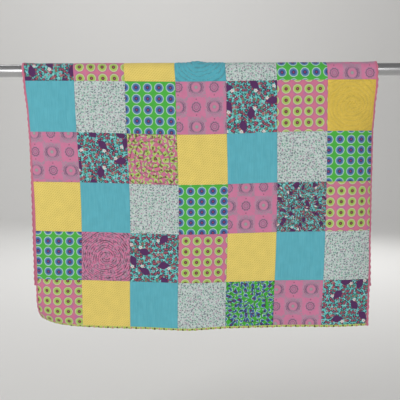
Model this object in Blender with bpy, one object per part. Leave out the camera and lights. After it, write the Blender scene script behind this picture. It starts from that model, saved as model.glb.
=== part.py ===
"""A patchwork quilt that hangs folded over a round metal rail.

The quilt is seven squares wide and ten long. It lies over the rail with its pieced side out, so
that five rows and a strip of the sixth hang in front and the rest hangs behind. The origin is on
the rail's axis, midway between its ends. X runs along the rail, the front hangs at -Y, Z is up.

Points of the quilt are worked out flat first: u runs across from the middle, v runs down the
front from the seam just below the rail, and both then go through one function that hangs them.
"""

import math

import bmesh
import bpy
from mathutils import Vector

# Rail
RAIL_RADIUS = 0.01905
RAIL_HALF_LENGTH = 0.66
RAIL_CHAMFER = 0.0015
RAIL_SIDES = 32

# Patchwork
PATCH = 0.1524
COLUMNS = 7
FRONT_ROWS = 5
BACK_ROWS = 5  # the first of them is the one that bends over the rail
STEPS_PER_PATCH = 4
TRIM = 0.005  # the outermost squares lost this much when the edges were squared up

# Quilt thickness, each way from its middle layer
SEAM_HALF = 0.0011
LINING_HALF = 0.0011
CROWN = 0.0007  # how much a plain square stands above its seams
RING_LOOPS = 10  # point loops in a ring-quilted square, high and low by turns
RING_HIGH = 0.0021
RING_LOW = 0.0004
ROUND_RINGS = 0.55  # rings are round out to this share of a square, then take on its outline

# How it lies over the rail
RAIL_GAP = 0.0005
BEND = RAIL_RADIUS + RAIL_GAP + LINING_HALF
BEND_STEPS = 12
SEAM_DROP = 0.0308  # the first seam hangs this far below the rail's axis
EDGE_LIFT = 0.0020  # the side bindings hold the quilt this much further off the rail
EDGE_LIFT_REACH = 0.04

# Binding: a folded strip around the raw edge
BORDER = 0.0062  # quilt beyond its outermost seam, inside the binding
FIT_GAP = 0.0003
SLOT_GAP = 0.0005  # between the strip and each face of the quilt
STRIP = 0.0009  # the folded strip's thickness
STRIP_PRESSED = 0.0002  # its stitched lip is pressed thinner by this
STRIP_SHOULDER = 0.0005  # where it starts to round over, in from the raw edge
LIP = BORDER + FIT_GAP  # how far the strip reaches in over the face
WAVE_HEIGHT = 0.0012  # the side bindings' scalloped edge
WAVES_PER_PATCH = 4

HALF_WIDTH = COLUMNS * PATCH / 2 - TRIM
EDGE_U = HALF_WIDTH + BORDER
FRONT_V = FRONT_ROWS * PATCH - TRIM
BACK_V = TRIM - BACK_ROWS * PATCH
AXIS_FRONT = -SEAM_DROP
AXIS_BACK = AXIS_FRONT - math.pi * BEND

# How far each side edge turns back towards the other panel, by height in squares below v = 0
TURN_REACH = 0.10
TURNS = (
    # squares, left edge, right edge
    (-5.2, 0.004, 0.004),
    (-1.5, 0.006, 0.006),
    (-0.8, 0.000, 0.000),
    (-0.2, 0.000, 0.000),
    (0.0, 0.003, 0.005),
    (0.6, 0.018, 0.022),
    (1.0, 0.019, 0.029),
    (2.0, 0.012, 0.027),
    (3.0, 0.013, 0.021),
    (4.0, 0.022, 0.014),
    (5.2, 0.021, 0.008),
)

# Soft upright folds, deepest at the hem
BACK_STILL = 0.03  # the back hangs flat for this far below the bend
FOLDS = (
    # panel, depth, width, start
    ("front", 0.0035, 0.41, 0.07),
    ("front", 0.0018, 0.23, 0.02),
    ("back", 0.0035, 0.47, 0.15),
    ("back", 0.0015, 0.26, 0.05),
)

# Below this height the front panel swings back towards the other one
LEAN = 0.014
LEAN_FROM = 3.5 * PATCH

# The front's lower left corner rolls back along a slanting line
CURL_SLANT = math.radians(20.5)  # between that line and the hem
CURL_REACH = 0.085
CURL = 5.8  # depth is this many times the square of the distance past the line

# Seams hang lower in the middle, and sway sideways down the front
SAG_TOP = 0.005
SAG_FRONT = 0.0057
SAG_MIDDLE = -0.048
SAG_WIDTH = 0.265
SWAY = 0.0033
SWAY_LENGTH = 2.5 * PATCH
DRAG = 0.005  # how far left the cloth was pulled where it lies on the rail
DRAG_LENGTH = 0.045
DRAW_IN = 0.0177  # share of its width that the front loses to soft folds below its third row

# The right side is drawn in towards the middle, except low on the front
RIGHT_DRAW = 0.005
RIGHT_FROM = 1.5 * PATCH
RIGHT_RELEASE = 0.8
BACK_DRAW = 0.0075  # how much more, halfway down the back
HEM_RISE = 0.003  # the front hem was trimmed shorter by this, right of its middle
HEM_RISE_FROM = -0.05
HEM_RISE_REACH = 0.10

# Which column of each row is quilted in rings: rows count down from the one over the rail
RING_START = 4
RING_STEP = 3

FINISHES = {
    # node: base colour, roughness, metallic
    "rail": ((0.62, 0.62, 0.63), 0.18, 1.0),
    "quilt": ((0.30, 0.47, 0.45), 0.90, 0.0),
    "binding_left": ((0.48, 0.16, 0.22), 0.90, 0.0),
    "binding_right": ((0.48, 0.16, 0.22), 0.90, 0.0),
    "binding_front_hem": ((0.38, 0.42, 0.12), 0.90, 0.0),
    "binding_back_hem": ((0.38, 0.42, 0.12), 0.90, 0.0),
}


def smooth(t):
    """0 below 0, 1 above 1, with a soft step between."""
    t = min(1.0, max(0.0, t))
    return t * t * (3 - 2 * t)


def turn_depth(v, side):
    """How far an edge has turned back at this height: side is 1 for the left, 2 for the right."""
    at = v / PATCH
    for upper, lower in zip(TURNS, TURNS[1:]):
        if at <= lower[0] or lower is TURNS[-1]:
            share = smooth((at - upper[0]) / (lower[0] - upper[0]))
            return upper[side] + share * (lower[side] - upper[side])
    return 0.0


def edge_turn(u, v):
    """Depth of the turned-back edge at (u, v), and how far the turn draws it in."""
    past = abs(u) - (EDGE_U - TURN_REACH)
    if past <= 0:
        return 0.0, 0.0
    bend = turn_depth(v, 1 if u < 0 else 2) / TURN_REACH**2
    return bend * past**2, 2 / 3 * bend**2 * past**3


def corner_curl(u, v):
    """Depth of the rolled corner at (u, v), and how far the roll draws it in."""
    from_corner = (u + EDGE_U) * math.sin(CURL_SLANT) + (FRONT_V + BORDER - v) * math.cos(CURL_SLANT)
    past = CURL_REACH - from_corner
    if past <= 0:
        return 0.0, 0.0
    return CURL * past**2, 2 / 3 * CURL**2 * past**3


def fold_depth(u, v):
    """Depth of the soft folds, growing from the rail down each panel."""
    panel = "front" if v > 0 else "back"
    below = v if v > 0 else AXIS_BACK - BACK_STILL - v
    waves = [
        depth * math.sin(2 * math.pi * (u - start) / width)
        for name, depth, width, start in FOLDS
        if name == panel
    ]
    return smooth(below / FRONT_V) * sum(waves)


def right_draw(u, v):
    """How far the right side is drawn in at (u, v)."""
    past = max(0.0, (u - RIGHT_FROM) / (EDGE_U - RIGHT_FROM))
    drawn = RIGHT_DRAW * past**2 * (1 - RIGHT_RELEASE * smooth((v / PATCH - 3) / 1.5))
    if v < AXIS_BACK:
        down_the_back = (AXIS_BACK - v) / (AXIS_BACK - BACK_V)
        drawn += BACK_DRAW * math.sin(math.pi * down_the_back) * (u / EDGE_U + 1) / 2
    return drawn


def hang(u, v):
    """Where the quilt's middle layer hangs, for a point of the flat quilt."""
    sag = math.exp(-(((u - SAG_MIDDLE) / SAG_WIDTH) ** 2))
    along = v + sag * (SAG_TOP + SAG_FRONT * smooth(v / PATCH))
    x = u * (1 - DRAW_IN * smooth(v / (3 * PATCH)))
    x -= SWAY * math.cos(math.pi * v / SWAY_LENGTH) * smooth(1 + v / PATCH)
    x -= DRAG * math.exp(-(((v - (AXIS_FRONT + AXIS_BACK) / 2) / DRAG_LENGTH) ** 2))
    x -= right_draw(u, v)
    along -= HEM_RISE * smooth(v / PATCH - 4) * smooth((u - HEM_RISE_FROM) / HEM_RISE_REACH)
    turned, drawn = edge_turn(u, v)
    x -= math.copysign(drawn, u)
    rolled, pulled = corner_curl(u, v)
    x += pulled * math.sin(CURL_SLANT)
    along -= pulled * math.cos(CURL_SLANT)
    lean = LEAN * smooth((v - LEAN_FROM) / (FRONT_V - LEAN_FROM))
    depth = turned + rolled + fold_depth(u, v) + lean
    lift = EDGE_LIFT * smooth((abs(u) - HALF_WIDTH + EDGE_LIFT_REACH) / EDGE_LIFT_REACH)
    off = BEND + lift
    if along > AXIS_FRONT:
        return Vector((x, depth - off, AXIS_FRONT - along))
    if along < AXIS_BACK:
        return Vector((x, off - depth, along - AXIS_BACK))
    angle = (AXIS_FRONT - along) / BEND
    return Vector((x, -off * math.cos(angle), off * math.sin(angle)))


def place(u, v, height, step=0.0005):
    """A point that stands off the middle layer, out from the pieced side."""
    across = hang(u + step, v) - hang(u - step, v)
    down = hang(u, v + step) - hang(u, v - step)
    return hang(u, v) + down.cross(across).normalized() * height


def column_seams(column):
    """u of the left and right edge of a column of squares, counted from 1 at the left."""
    left = (column - 1 - COLUMNS / 2) * PATCH
    return max(left, -HALF_WIDTH), min(left + PATCH, HALF_WIDTH)


def row_seams(row):
    """v of the upper and lower edge of a row of squares; row 0 is the one over the rail."""
    return max((row - 1) * PATCH, BACK_V), min(row * PATCH, FRONT_V)


def even_steps(start, end, count):
    return [start + (end - start) * k / count for k in range(count + 1)]


def column_lines():
    """u of the quilt's point columns, from the left raw edge to the right one."""
    lines = [-EDGE_U]
    for column in range(1, COLUMNS + 1):
        lines += even_steps(*column_seams(column), STEPS_PER_PATCH)[:-1]
    return [*lines, HALF_WIDTH, EDGE_U]


def row_steps(row):
    """v of the point rows of one row of squares, from its upper seam to its lower one."""
    top, bottom = row_seams(row)
    if row != 0:
        return even_steps(top, bottom, STEPS_PER_PATCH)
    return [top, (top + AXIS_BACK) / 2, *even_steps(AXIS_BACK, AXIS_FRONT, BEND_STEPS), bottom]


def row_lines():
    """v of the quilt's point rows, from the back hem to the front hem, and where each row starts."""
    lines, starts = [BACK_V - BORDER], {}
    for row in range(1 - BACK_ROWS, FRONT_ROWS + 1):
        starts[row] = len(lines)
        lines += row_steps(row)[:-1]
    lines += [FRONT_V, FRONT_V + BORDER]
    return lines, starts


def ring_column(row):
    """Which column, from 1 at the left, is quilted in rings in this row."""
    return (RING_START + RING_STEP * row - 1) % COLUMNS + 1


def crown(u, v):
    """Height of a plain square's face over the middle layer, lowest along its seams."""
    column = min(COLUMNS, max(1, math.floor(u / PATCH + COLUMNS / 2) + 1))
    row = min(FRONT_ROWS, max(1 - BACK_ROWS, math.floor(v / PATCH) + 1))
    left, right = column_seams(column)
    top, bottom = row_seams(row)
    swell = math.sin(math.pi * (u - left) / (right - left))
    swell *= math.sin(math.pi * (v - top) / (bottom - top))
    return SEAM_HALF + CROWN * math.sqrt(max(0.0, swell))


def add_cell(mesh, points, i, j, last_i, last_j):
    """The face between four neighbouring points; border cells split the way their binding does."""
    if i == 0 or (j == 0 and i < last_i - 1):
        one, two = (i + 1, j) if i == 0 else (i, j + 1), (i, j + 1) if i == 0 else (i + 1, j)
    elif i == last_i - 1 or j == last_j - 1:
        one, two = (i, j), (i + 1, j + 1)
    else:
        corners = ((i, j), (i, j + 1), (i + 1, j + 1), (i + 1, j))
        mesh.faces.new([points[key] for key in corners])
        return
    for other in ((i, j), (i, j + 1), (i + 1, j + 1), (i + 1, j)):
        if other not in (one, two):
            mesh.faces.new([points[key] for key in (one, other, two)])


def ring_face(mesh, points, columns, rows, us, vs):
    """A square quilted in rings: point loops from its outline in to its middle."""
    first, last = columns
    top, bottom = rows
    outline = [(first, j) for j in range(top, bottom)]
    outline += [(i, bottom) for i in range(first, last)]
    outline += [(last, j) for j in range(bottom, top, -1)]
    outline += [(i, top) for i in range(last, first, -1)]
    middle_u, middle_v = (us[first] + us[last]) / 2, (vs[top] + vs[bottom]) / 2
    outer = [points[key] for key in outline]
    for loop in range(RING_LOOPS - 1, 0, -1):
        share = loop / RING_LOOPS
        squareness = smooth((share - ROUND_RINGS) / (1 - ROUND_RINGS))
        height = SEAM_HALF + (RING_HIGH if loop % 2 else RING_LOW)
        inner = []
        for i, j in outline:
            away_u, away_v = us[i] - middle_u, vs[j] - middle_v
            far = math.hypot(away_u, away_v)
            size = (1 - squareness) * PATCH / 2 / far + squareness
            inner.append(
                mesh.verts.new(
                    place(middle_u + away_u * share * size, middle_v + away_v * share * size, height)
                )
            )
        for k in range(len(outline)):
            after = (k + 1) % len(outline)
            mesh.faces.new([outer[k], outer[after], inner[after], inner[k]])
        outer = inner
    centre = mesh.verts.new(place(middle_u, middle_v, SEAM_HALF + RING_LOW))
    for k in range(len(outer)):
        mesh.faces.new([outer[k], outer[(k + 1) % len(outer)], centre])


def make_quilt():
    """The quilt with its two faces and raw edges, as one closed body."""
    mesh = bmesh.new()
    us = column_lines()
    vs, starts = row_lines()
    face, lining = {}, {}
    last_i, last_j = len(us) - 1, len(vs) - 1
    ringed = {}
    for row, start in starts.items():
        first = 1 + (ring_column(row) - 1) * STEPS_PER_PATCH
        end = starts.get(row + 1, last_j - 1)
        ringed[row] = (first, first + STEPS_PER_PATCH), (start, end)
    inside = {
        (i, j)
        for columns, rows in ringed.values()
        for i in range(columns[0] + 1, columns[1])
        for j in range(rows[0] + 1, rows[1])
    }
    for i, u in enumerate(us):
        for j, v in enumerate(vs):
            border = i in (0, 1, last_i - 1, last_i) or j in (0, 1, last_j - 1, last_j)
            height = SEAM_HALF if border else crown(u, v)
            if (i, j) not in inside:
                face[i, j] = mesh.verts.new(place(u, v, height))
            back = SEAM_HALF if border else LINING_HALF
            lining[i, j] = mesh.verts.new(place(u, v, -back))
    ring_cells = {
        (i, j)
        for columns, rows in ringed.values()
        for i in range(*columns)
        for j in range(*rows)
    }
    for i in range(last_i):
        for j in range(last_j):
            if (i, j) not in ring_cells:
                add_cell(mesh, face, i, j, last_i, last_j)
            add_cell(mesh, lining, i, j, last_i, last_j)
    for columns, rows in ringed.values():
        ring_face(mesh, face, columns, rows, us, vs)
    rim = [(0, j) for j in range(last_j)] + [(i, last_j) for i in range(last_i)]
    rim += [(last_i, j) for j in range(last_j, 0, -1)] + [(i, 0) for i in range(last_i, 0, -1)]
    for here, after in zip(rim, rim[1:] + rim[:1]):
        mesh.faces.new([face[after], face[here], lining[here], lining[after]])
    return mesh


def strip_section(wave):
    """The folded strip around a raw edge: distance out from the edge, height over the middle."""
    slot = SEAM_HALF + SLOT_GAP
    outer = slot + STRIP
    tip = FIT_GAP + STRIP + wave
    return (
        (-LIP, outer - STRIP_PRESSED),
        (-STRIP_SHOULDER, outer),
        (tip, outer / 2),
        (tip, -outer / 2),
        (-STRIP_SHOULDER, -outer),
        (-LIP, STRIP_PRESSED - outer),
        (-LIP, -slot),
        (FIT_GAP, -slot),
        (FIT_GAP, slot),
        (-LIP, slot),
    )


def loft(sections, inner_first=None):
    """A closed body through a run of sections with the same number of points.

    Where inner_first tells for each side of the section whether its first point lies further in,
    each face is split from the further-in point to the other one of the next section.
    """
    mesh = bmesh.new()
    loops = [[mesh.verts.new(point) for point in section] for section in sections]
    count = len(loops[0])
    for one, two in zip(loops, loops[1:]):
        for k in range(count):
            after = (k + 1) % count
            if inner_first is None:
                mesh.faces.new([one[k], one[after], two[after], two[k]])
            elif inner_first[k]:
                mesh.faces.new([one[k], one[after], two[after]])
                mesh.faces.new([one[k], two[after], two[k]])
            else:
                mesh.faces.new([one[k], one[after], two[k]])
                mesh.faces.new([one[after], two[after], two[k]])
    mesh.faces.new(loops[0][::-1])
    mesh.faces.new(loops[-1])
    return mesh


def bind(stations, at):
    """The strip along a run of stations on the quilt's own facets.

    A station is a point line, the next one, the share of the way between them, and the wave of
    the strip's outer edge there. at(line, out, height) is a point of the section on that line.
    """
    sections = [
        [
            at(here, out, height).lerp(at(after, out, height), share)
            for out, height in strip_section(wave)
        ]
        for here, after, share, wave in stations
    ]
    outs = [out for out, _ in strip_section(0.0)]
    inner_first = [out < after for out, after in zip(outs, outs[1:] + outs[:1])]
    return loft(sections, inner_first)


def make_side_binding(side):
    """The strip down one side edge, from the back hem over the rail to the front hem."""
    lines, _ = row_lines()
    end = FIT_GAP + STRIP
    lines = [lines[0] - end, *lines[1:-1], lines[-1] + end]
    half_wave = PATCH / WAVES_PER_PATCH / 2
    stations = []
    for here, after in zip(lines, lines[1:]):
        for share in (0.0, 0.5) if after - here > 1.5 * half_wave else (0.0,):
            v = here + (after - here) * share
            wave = WAVE_HEIGHT * math.cos(2 * math.pi * WAVES_PER_PATCH * v / PATCH)
            stations.append((here, after, share, wave))
    stations.append((lines[-2], lines[-1], 1.0, 0.0))
    return bind(stations, lambda v, out, height: place(side * (EDGE_U + out), v, height))


def make_hem_binding(edge, towards):
    """The strip along one hem, between the side bindings."""
    lines = column_lines()[1:-1]
    share = 2 * FIT_GAP / (lines[1] - lines[0])
    stations = [(lines[0], lines[1], share, 0.0)]
    stations += [(here, after, 0.0, 0.0) for here, after in zip(lines[1:], lines[2:])]
    stations.append((lines[-2], lines[-1], 1.0 - share, 0.0))
    return bind(stations, lambda u, out, height: place(u, edge + towards * out, height))


def make_rail():
    """The rail with its edges broken, along X."""
    profile = (
        (-RAIL_HALF_LENGTH, RAIL_RADIUS - RAIL_CHAMFER),
        (-RAIL_HALF_LENGTH + RAIL_CHAMFER, RAIL_RADIUS),
        (RAIL_HALF_LENGTH - RAIL_CHAMFER, RAIL_RADIUS),
        (RAIL_HALF_LENGTH, RAIL_RADIUS - RAIL_CHAMFER),
    )
    sections = []
    for x, radius in profile:
        angles = [2 * math.pi * k / RAIL_SIDES for k in range(RAIL_SIDES)]
        sections.append([(x, radius * math.cos(a), radius * math.sin(a)) for a in angles])
    return loft(sections)


def add_object(name, mesh, sharp_degrees=35):
    """Puts a finished mesh in the scene under its name, with its own material."""
    bmesh.ops.recalc_face_normals(mesh, faces=mesh.faces)
    data = bpy.data.meshes.new(name)
    mesh.to_mesh(data)
    mesh.free()
    data.shade_smooth()
    data.set_sharp_from_angle(angle=math.radians(sharp_degrees))
    colour, roughness, metallic = FINISHES[name]
    finish = bpy.data.materials.new(name)
    finish.use_nodes = True
    shader = finish.node_tree.nodes["Principled BSDF"]
    shader.inputs["Base Color"].default_value = (*colour, 1.0)
    shader.inputs["Roughness"].default_value = roughness
    shader.inputs["Metallic"].default_value = metallic
    data.materials.append(finish)
    bpy.context.scene.collection.objects.link(bpy.data.objects.new(name, data))


def main():
    for old in list(bpy.data.objects):
        bpy.data.objects.remove(old)
    add_object("rail", make_rail())
    add_object("quilt", make_quilt())
    add_object("binding_left", make_side_binding(-1))
    add_object("binding_right", make_side_binding(1))
    add_object("binding_front_hem", make_hem_binding(FRONT_V + BORDER, 1))
    add_object("binding_back_hem", make_hem_binding(BACK_V - BORDER, -1))


main()
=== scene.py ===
# %% [markdown]
# # A patchwork quilt over a round metal rail
#
# The real thing is seven cotton prints cut into six inch squares, sewn into ten rows of seven and
# quilted to a thin batting and a backing. It hangs folded over a polished rail, pieced side out.
# One square of each row is quilted in a tight spiral, which gathers its cloth into ridges.
#
# Everything is in metres. X runs along the rail, the long front panel hangs at -Y, and Z is up.
# The cloth is worked out flat first. A point of the flat quilt has two numbers: u across from the
# middle, and v down the front from the first seam below the rail. One function then hangs it.

# %% The fixed frame
import math

import bmesh
import bpy
import numpy as np
from mathutils import Matrix, Vector


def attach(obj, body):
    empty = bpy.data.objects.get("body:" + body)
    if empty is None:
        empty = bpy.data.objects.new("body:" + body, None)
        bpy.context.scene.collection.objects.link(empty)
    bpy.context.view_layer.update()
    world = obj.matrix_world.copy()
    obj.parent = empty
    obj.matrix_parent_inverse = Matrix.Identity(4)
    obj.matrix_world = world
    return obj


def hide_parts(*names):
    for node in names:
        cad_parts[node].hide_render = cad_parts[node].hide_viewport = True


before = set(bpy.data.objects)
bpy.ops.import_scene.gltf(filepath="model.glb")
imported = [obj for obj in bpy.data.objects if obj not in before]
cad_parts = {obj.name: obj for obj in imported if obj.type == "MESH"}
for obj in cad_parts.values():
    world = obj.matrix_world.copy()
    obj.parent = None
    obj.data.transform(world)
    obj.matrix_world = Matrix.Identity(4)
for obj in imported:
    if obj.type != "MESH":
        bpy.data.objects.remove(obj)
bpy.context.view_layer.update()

# %% [markdown]
# ## A few small tools
#
# Blender mixes light in linear numbers, while the colours listed here are sRGB hex values. One
# function turns the second into the first. The others add a node with its settings and links,
# start a material and make an object of points and faces, so that each tree and each piece
# below reads as a list of steps.


# %% Colours, nodes and pieces
def linear(code):
    """An sRGB colour such as "5CA8B4" as linear red, green, blue and alpha."""
    parts = [int(code[k : k + 2], 16) / 255 for k in (0, 2, 4)]
    return (*[c / 12.92 if c <= 0.04045 else ((c + 0.055) / 1.055) ** 2.4 for c in parts], 1.0)


def plug(tree, node, inputs):
    """Gives each input of a node a value, a socket, or a node whose first output it takes."""
    for key, value in dict(inputs).items():
        if isinstance(value, bpy.types.Node):
            value = value.outputs[0]
        if isinstance(value, bpy.types.NodeSocket):
            tree.links.new(value, node.inputs[key])
        else:
            node.inputs[key].default_value = value
    return node


def add_node(tree, kind, inputs=(), **settings):
    """Adds a node with its settings and its inputs."""
    node = tree.nodes.new(kind)
    for name, value in settings.items():
        setattr(node, name, value)
    return plug(tree, node, inputs)


def new_material(name):
    """A material, with its tree and its shader."""
    material = bpy.data.materials.new(name)
    material.use_nodes = True
    return material, material.node_tree, material.node_tree.nodes["Principled BSDF"]


def add_piece(name, points, faces, material=None, cloth=None, edges=()):
    """A mesh as an object. cloth is the place of each point on its own flat cloth, in metres."""
    mesh = bpy.data.meshes.new(name)
    mesh.from_pydata(points, edges, faces)
    mesh.shade_smooth()
    if cloth is not None:
        corners = np.empty(len(mesh.loops), int)
        mesh.loops.foreach_get("vertex_index", corners)
        mesh.uv_layers.new(name="cloth").data.foreach_set("uv", cloth[corners].ravel())
    if material is not None:
        mesh.materials.append(material)
    ob = bpy.data.objects.new(name, mesh)
    bpy.context.scene.collection.objects.link(ob)
    return ob


print("linear teal", [round(c, 3) for c in linear("5CA8B4")])

# %% [markdown]
# ## Camera
#
# The camera stands 1.9 m in front of the quilt, a little below the rail, and looks slightly down.
# Its place and lens were fitted to the seams and the rail in the picture. The picture is square,
# so the lens follows from its focal length in pixels and the width of the sensor.

# %% Camera
PICTURE_PIXELS = 400
FOCAL_PIXELS = 620.0
SENSOR_MM = 36.0
CAMERA_PLACE = (0.0232, -1.905, -0.2025)
CAMERA_PITCH_DOWN = math.radians(5.758)
CAMERA_YAW_LEFT = math.radians(0.919)
CAMERA_ROLL = math.radians(-0.153)

camera = bpy.data.objects.new("camera", bpy.data.cameras.new("camera"))
camera.data.sensor_width = SENSOR_MM
camera.data.lens = FOCAL_PIXELS / PICTURE_PIXELS * SENSOR_MM
camera.matrix_world = (
    Matrix.Translation(CAMERA_PLACE)
    @ Matrix.Rotation(CAMERA_YAW_LEFT, 4, "Z")
    @ Matrix.Rotation(math.radians(90) - CAMERA_PITCH_DOWN, 4, "X")
    @ Matrix.Rotation(CAMERA_ROLL, 4, "Z")
)
bpy.context.scene.collection.objects.link(camera)
bpy.context.scene.camera = camera
bpy.context.scene.view_settings.view_transform = "Standard"
print("lens", round(camera.data.lens, 1), "mm")

# %% [markdown]
# ## Studio
#
# Cloth shows its true colours under a broad, soft light from the front. A large softbox stands
# behind the camera, a weaker one lights the back panel, and a grey surrounding, darker overhead,
# fills the shadows and gives the rail its dark upper band. The floor sweeps up into a backdrop
# far behind, so no line crosses the picture.

# %% Floor, backdrop and lights
FLOOR_HEIGHT = -1.15
FLOOR_HALF = 7.0
SWEEP_RADIUS = 2.0
SWEEP_STEPS = 24
BACKDROP_TOP = 6.0
DOME_GREYS = ((0.42, 0.52), (0.75, 0.24))  # share of the way from straight down to straight up, brightness


def build_stage():
    """A floor that turns up into a backdrop, as one sheet."""
    profile = [(-FLOOR_HALF, FLOOR_HEIGHT)]
    for k in range(SWEEP_STEPS + 1):
        angle = math.radians(90) * k / SWEEP_STEPS
        forward = FLOOR_HALF - SWEEP_RADIUS + SWEEP_RADIUS * math.sin(angle)
        profile.append((forward, FLOOR_HEIGHT + SWEEP_RADIUS * (1 - math.cos(angle))))
    profile.append((FLOOR_HALF, BACKDROP_TOP))
    points = [(x, y, z) for y, z in profile for x in (-FLOOR_HALF, FLOOR_HALF)]
    faces = [(2 * k, 2 * k + 1, 2 * k + 3, 2 * k + 2) for k in range(len(profile) - 1)]
    paper, tree, shader = new_material("pale backdrop paper")
    plug(tree, shader, {"Base Color": linear("D9D8D6"), "Roughness": 0.9})
    add_piece("studio_floor", points, faces, paper)


def add_softbox(name, place, aim_at, size, power):
    """A large area light that the camera doesn't see."""
    light = bpy.data.lights.new(name, "AREA")
    light.shape = "RECTANGLE"
    light.size, light.size_y = size
    light.energy = power
    lamp = bpy.data.objects.new(name, light)
    turn = (Vector(aim_at) - Vector(place)).to_track_quat("-Z", "Y")
    lamp.matrix_world = Matrix.Translation(place) @ turn.to_matrix().to_4x4()
    lamp.visible_camera = False
    bpy.context.scene.collection.objects.link(lamp)
    return lamp


build_stage()
add_softbox("softbox_front", (-0.2, -3.4, 0.0), (0, 0, -0.3), (4.0, 2.0), 70)
back_lamp = add_softbox("softbox_back", (0.8, 3.4, 1.2), (0, 0, -0.3), (2.4, 2.0), 60)
back_lamp.visible_glossy = False  # or the rail's top would shine at its right end
add_softbox("softbox_top_left", (-2.6, -1.2, 1.6), (0, 0, -0.4), (1.2, 1.2), 22)
add_softbox("softbox_backdrop", (-1.0, 2.0, 3.6), (-1.2, 6.5, 0.0), (5.0, 1.5), 165)
world = bpy.data.worlds.new("grey surrounding")
world.use_nodes = True
sky = world.node_tree
direction = add_node(sky, "ShaderNodeTexCoord").outputs["Generated"]
upward = add_node(sky, "ShaderNodeSeparateXYZ", {0: direction}).outputs["Z"]
height = add_node(sky, "ShaderNodeMapRange", {"Value": upward, "From Min": -1.0})
dome = add_node(sky, "ShaderNodeValToRGB", {0: height})
for stop, (share, grey) in zip(dome.color_ramp.elements, DOME_GREYS):
    stop.position = share
    stop.color = (grey, grey, grey, 1.0)
plug(sky, sky.nodes["Background"], {"Color": dome})
bpy.context.scene.world = world
print("stage at", FLOOR_HEIGHT, "m")

# %% [markdown]
# ## How the quilt hangs
#
# A cloth simulation would find some drape, but not this one. So the drape is written down: the
# cloth bends round the rail, sags a little in the middle, turns back along both side edges,
# rolls at its lower left corner, and carries soft upright folds. Whole arrays of points go
# through these functions at once, which keeps the fine meshes quick to make.

# %% Sizes of the quilt and the rail
PATCH = 0.1524  # a finished six inch square
COLUMNS = 7
FRONT_ROWS = 5
BACK_ROWS = 5  # the first of them is the one that bends over the rail
TRIM = 0.005  # the outermost squares lost this much when the edges were squared up
BORDER = 0.0062  # quilt beyond its outermost seam, inside the binding
QUILT_HALF = 0.0011  # from the middle layer to the pieced side, or to the backing
CROWN = 0.0007  # a plain square stands this much higher in its middle
RAIL_RADIUS = 0.01905
RAIL_HALF_LENGTH = 0.66
RAIL_GAP = 0.0005
BEND = RAIL_RADIUS + RAIL_GAP + QUILT_HALF  # radius of the middle layer over the rail
SEAM_DROP = 0.0308  # the first seam hangs this far below the rail's axis
HALF_WIDTH = COLUMNS * PATCH / 2 - TRIM  # from the middle to the seam of a side binding
EDGE_U = HALF_WIDTH + BORDER
FRONT_V = FRONT_ROWS * PATCH - TRIM  # where the hem bindings' seams lie
BACK_V = TRIM - BACK_ROWS * PATCH
AXIS_FRONT = -SEAM_DROP  # where the cloth is level with the rail's axis, in front and behind
AXIS_BACK = AXIS_FRONT - math.pi * BEND

# %% How far the cloth strays from a plain drape
EDGE_LIFT = 0.0020  # the thick bound edges stand off the rail by this much more
EDGE_LIFT_REACH = 0.04
TURN_REACH = 0.10  # width of the strip that turns back along each side
TURNS = (
    # squares below v = 0, depth of the left edge's turn, depth of the right edge's turn
    (-5.2, 0.004, 0.004),
    (-1.5, 0.006, 0.006),
    (-0.8, 0.000, 0.000),
    (-0.2, 0.000, 0.000),
    (0.0, 0.003, 0.005),
    (0.6, 0.018, 0.022),
    (1.0, 0.019, 0.029),
    (2.0, 0.012, 0.027),
    (3.0, 0.013, 0.021),
    (4.0, 0.022, 0.014),
    (5.2, 0.021, 0.008),
)
FRONT_FOLDS = ((0.0035, 0.41, 0.07), (0.0018, 0.23, 0.02))  # depth, width, start
BACK_FOLDS = ((0.0035, 0.47, 0.15), (0.0015, 0.26, 0.05))
BACK_STILL = 0.03  # the folds behind start this far below the rail's axis
LEAN = 0.014  # the lower part leans back by this much at the hem
LEAN_FROM = 3.5 * PATCH
CURL_SLANT = math.radians(20.5)  # the lower left corner rolls back about a slanting line
CURL_REACH = 0.085
CURL = 5.8
SAG_TOP = 0.005  # the middle has slid down by this much on the rail, and by more below it
SAG_FRONT = 0.0057
SAG_MIDDLE = -0.048
SAG_WIDTH = 0.265
SWAY = 0.0033  # the upright seams swing to the side and back
SWAY_LENGTH = 2.5 * PATCH
DRAG = 0.005  # the cloth on the rail is pulled to the left
DRAG_LENGTH = 0.045
DRAW_IN = 0.0177  # the front hangs narrower than it lies, by this share
DRAW_IN_ROWS = 3  # reached this many squares down
RIGHT_DRAW = 0.005  # the right side is drawn in by this much more
RIGHT_FROM = 1.5 * PATCH
RIGHT_RELEASE = 0.8  # the share of it that is let go again below
RELEASE_ROWS = (3, 4.5)
BACK_DRAW = 0.0075
HEM_RISE = 0.003  # the hem's right part hangs a little higher
HEM_RISE_FROM = -0.05
HEM_RISE_REACH = 0.10
print("the sides turn back by up to", max(max(turn[1:]) for turn in TURNS), "m")


# %% The drape
def smooth(t):
    """0 below 0, 1 above 1, with a soft step between."""
    t = np.clip(t, 0.0, 1.0)
    return t * t * (3 - 2 * t)


def turn_depth(v, side):
    """How far an edge has turned back at this height: side is 1 for the left, 2 for the right."""
    at = v / PATCH
    depth = np.full(at.shape, TURNS[0][side])
    for upper, lower in zip(TURNS, TURNS[1:]):
        share = smooth((at - upper[0]) / (lower[0] - upper[0]))
        depth = np.where(at > upper[0], upper[side] + share * (lower[side] - upper[side]), depth)
    return depth


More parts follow.
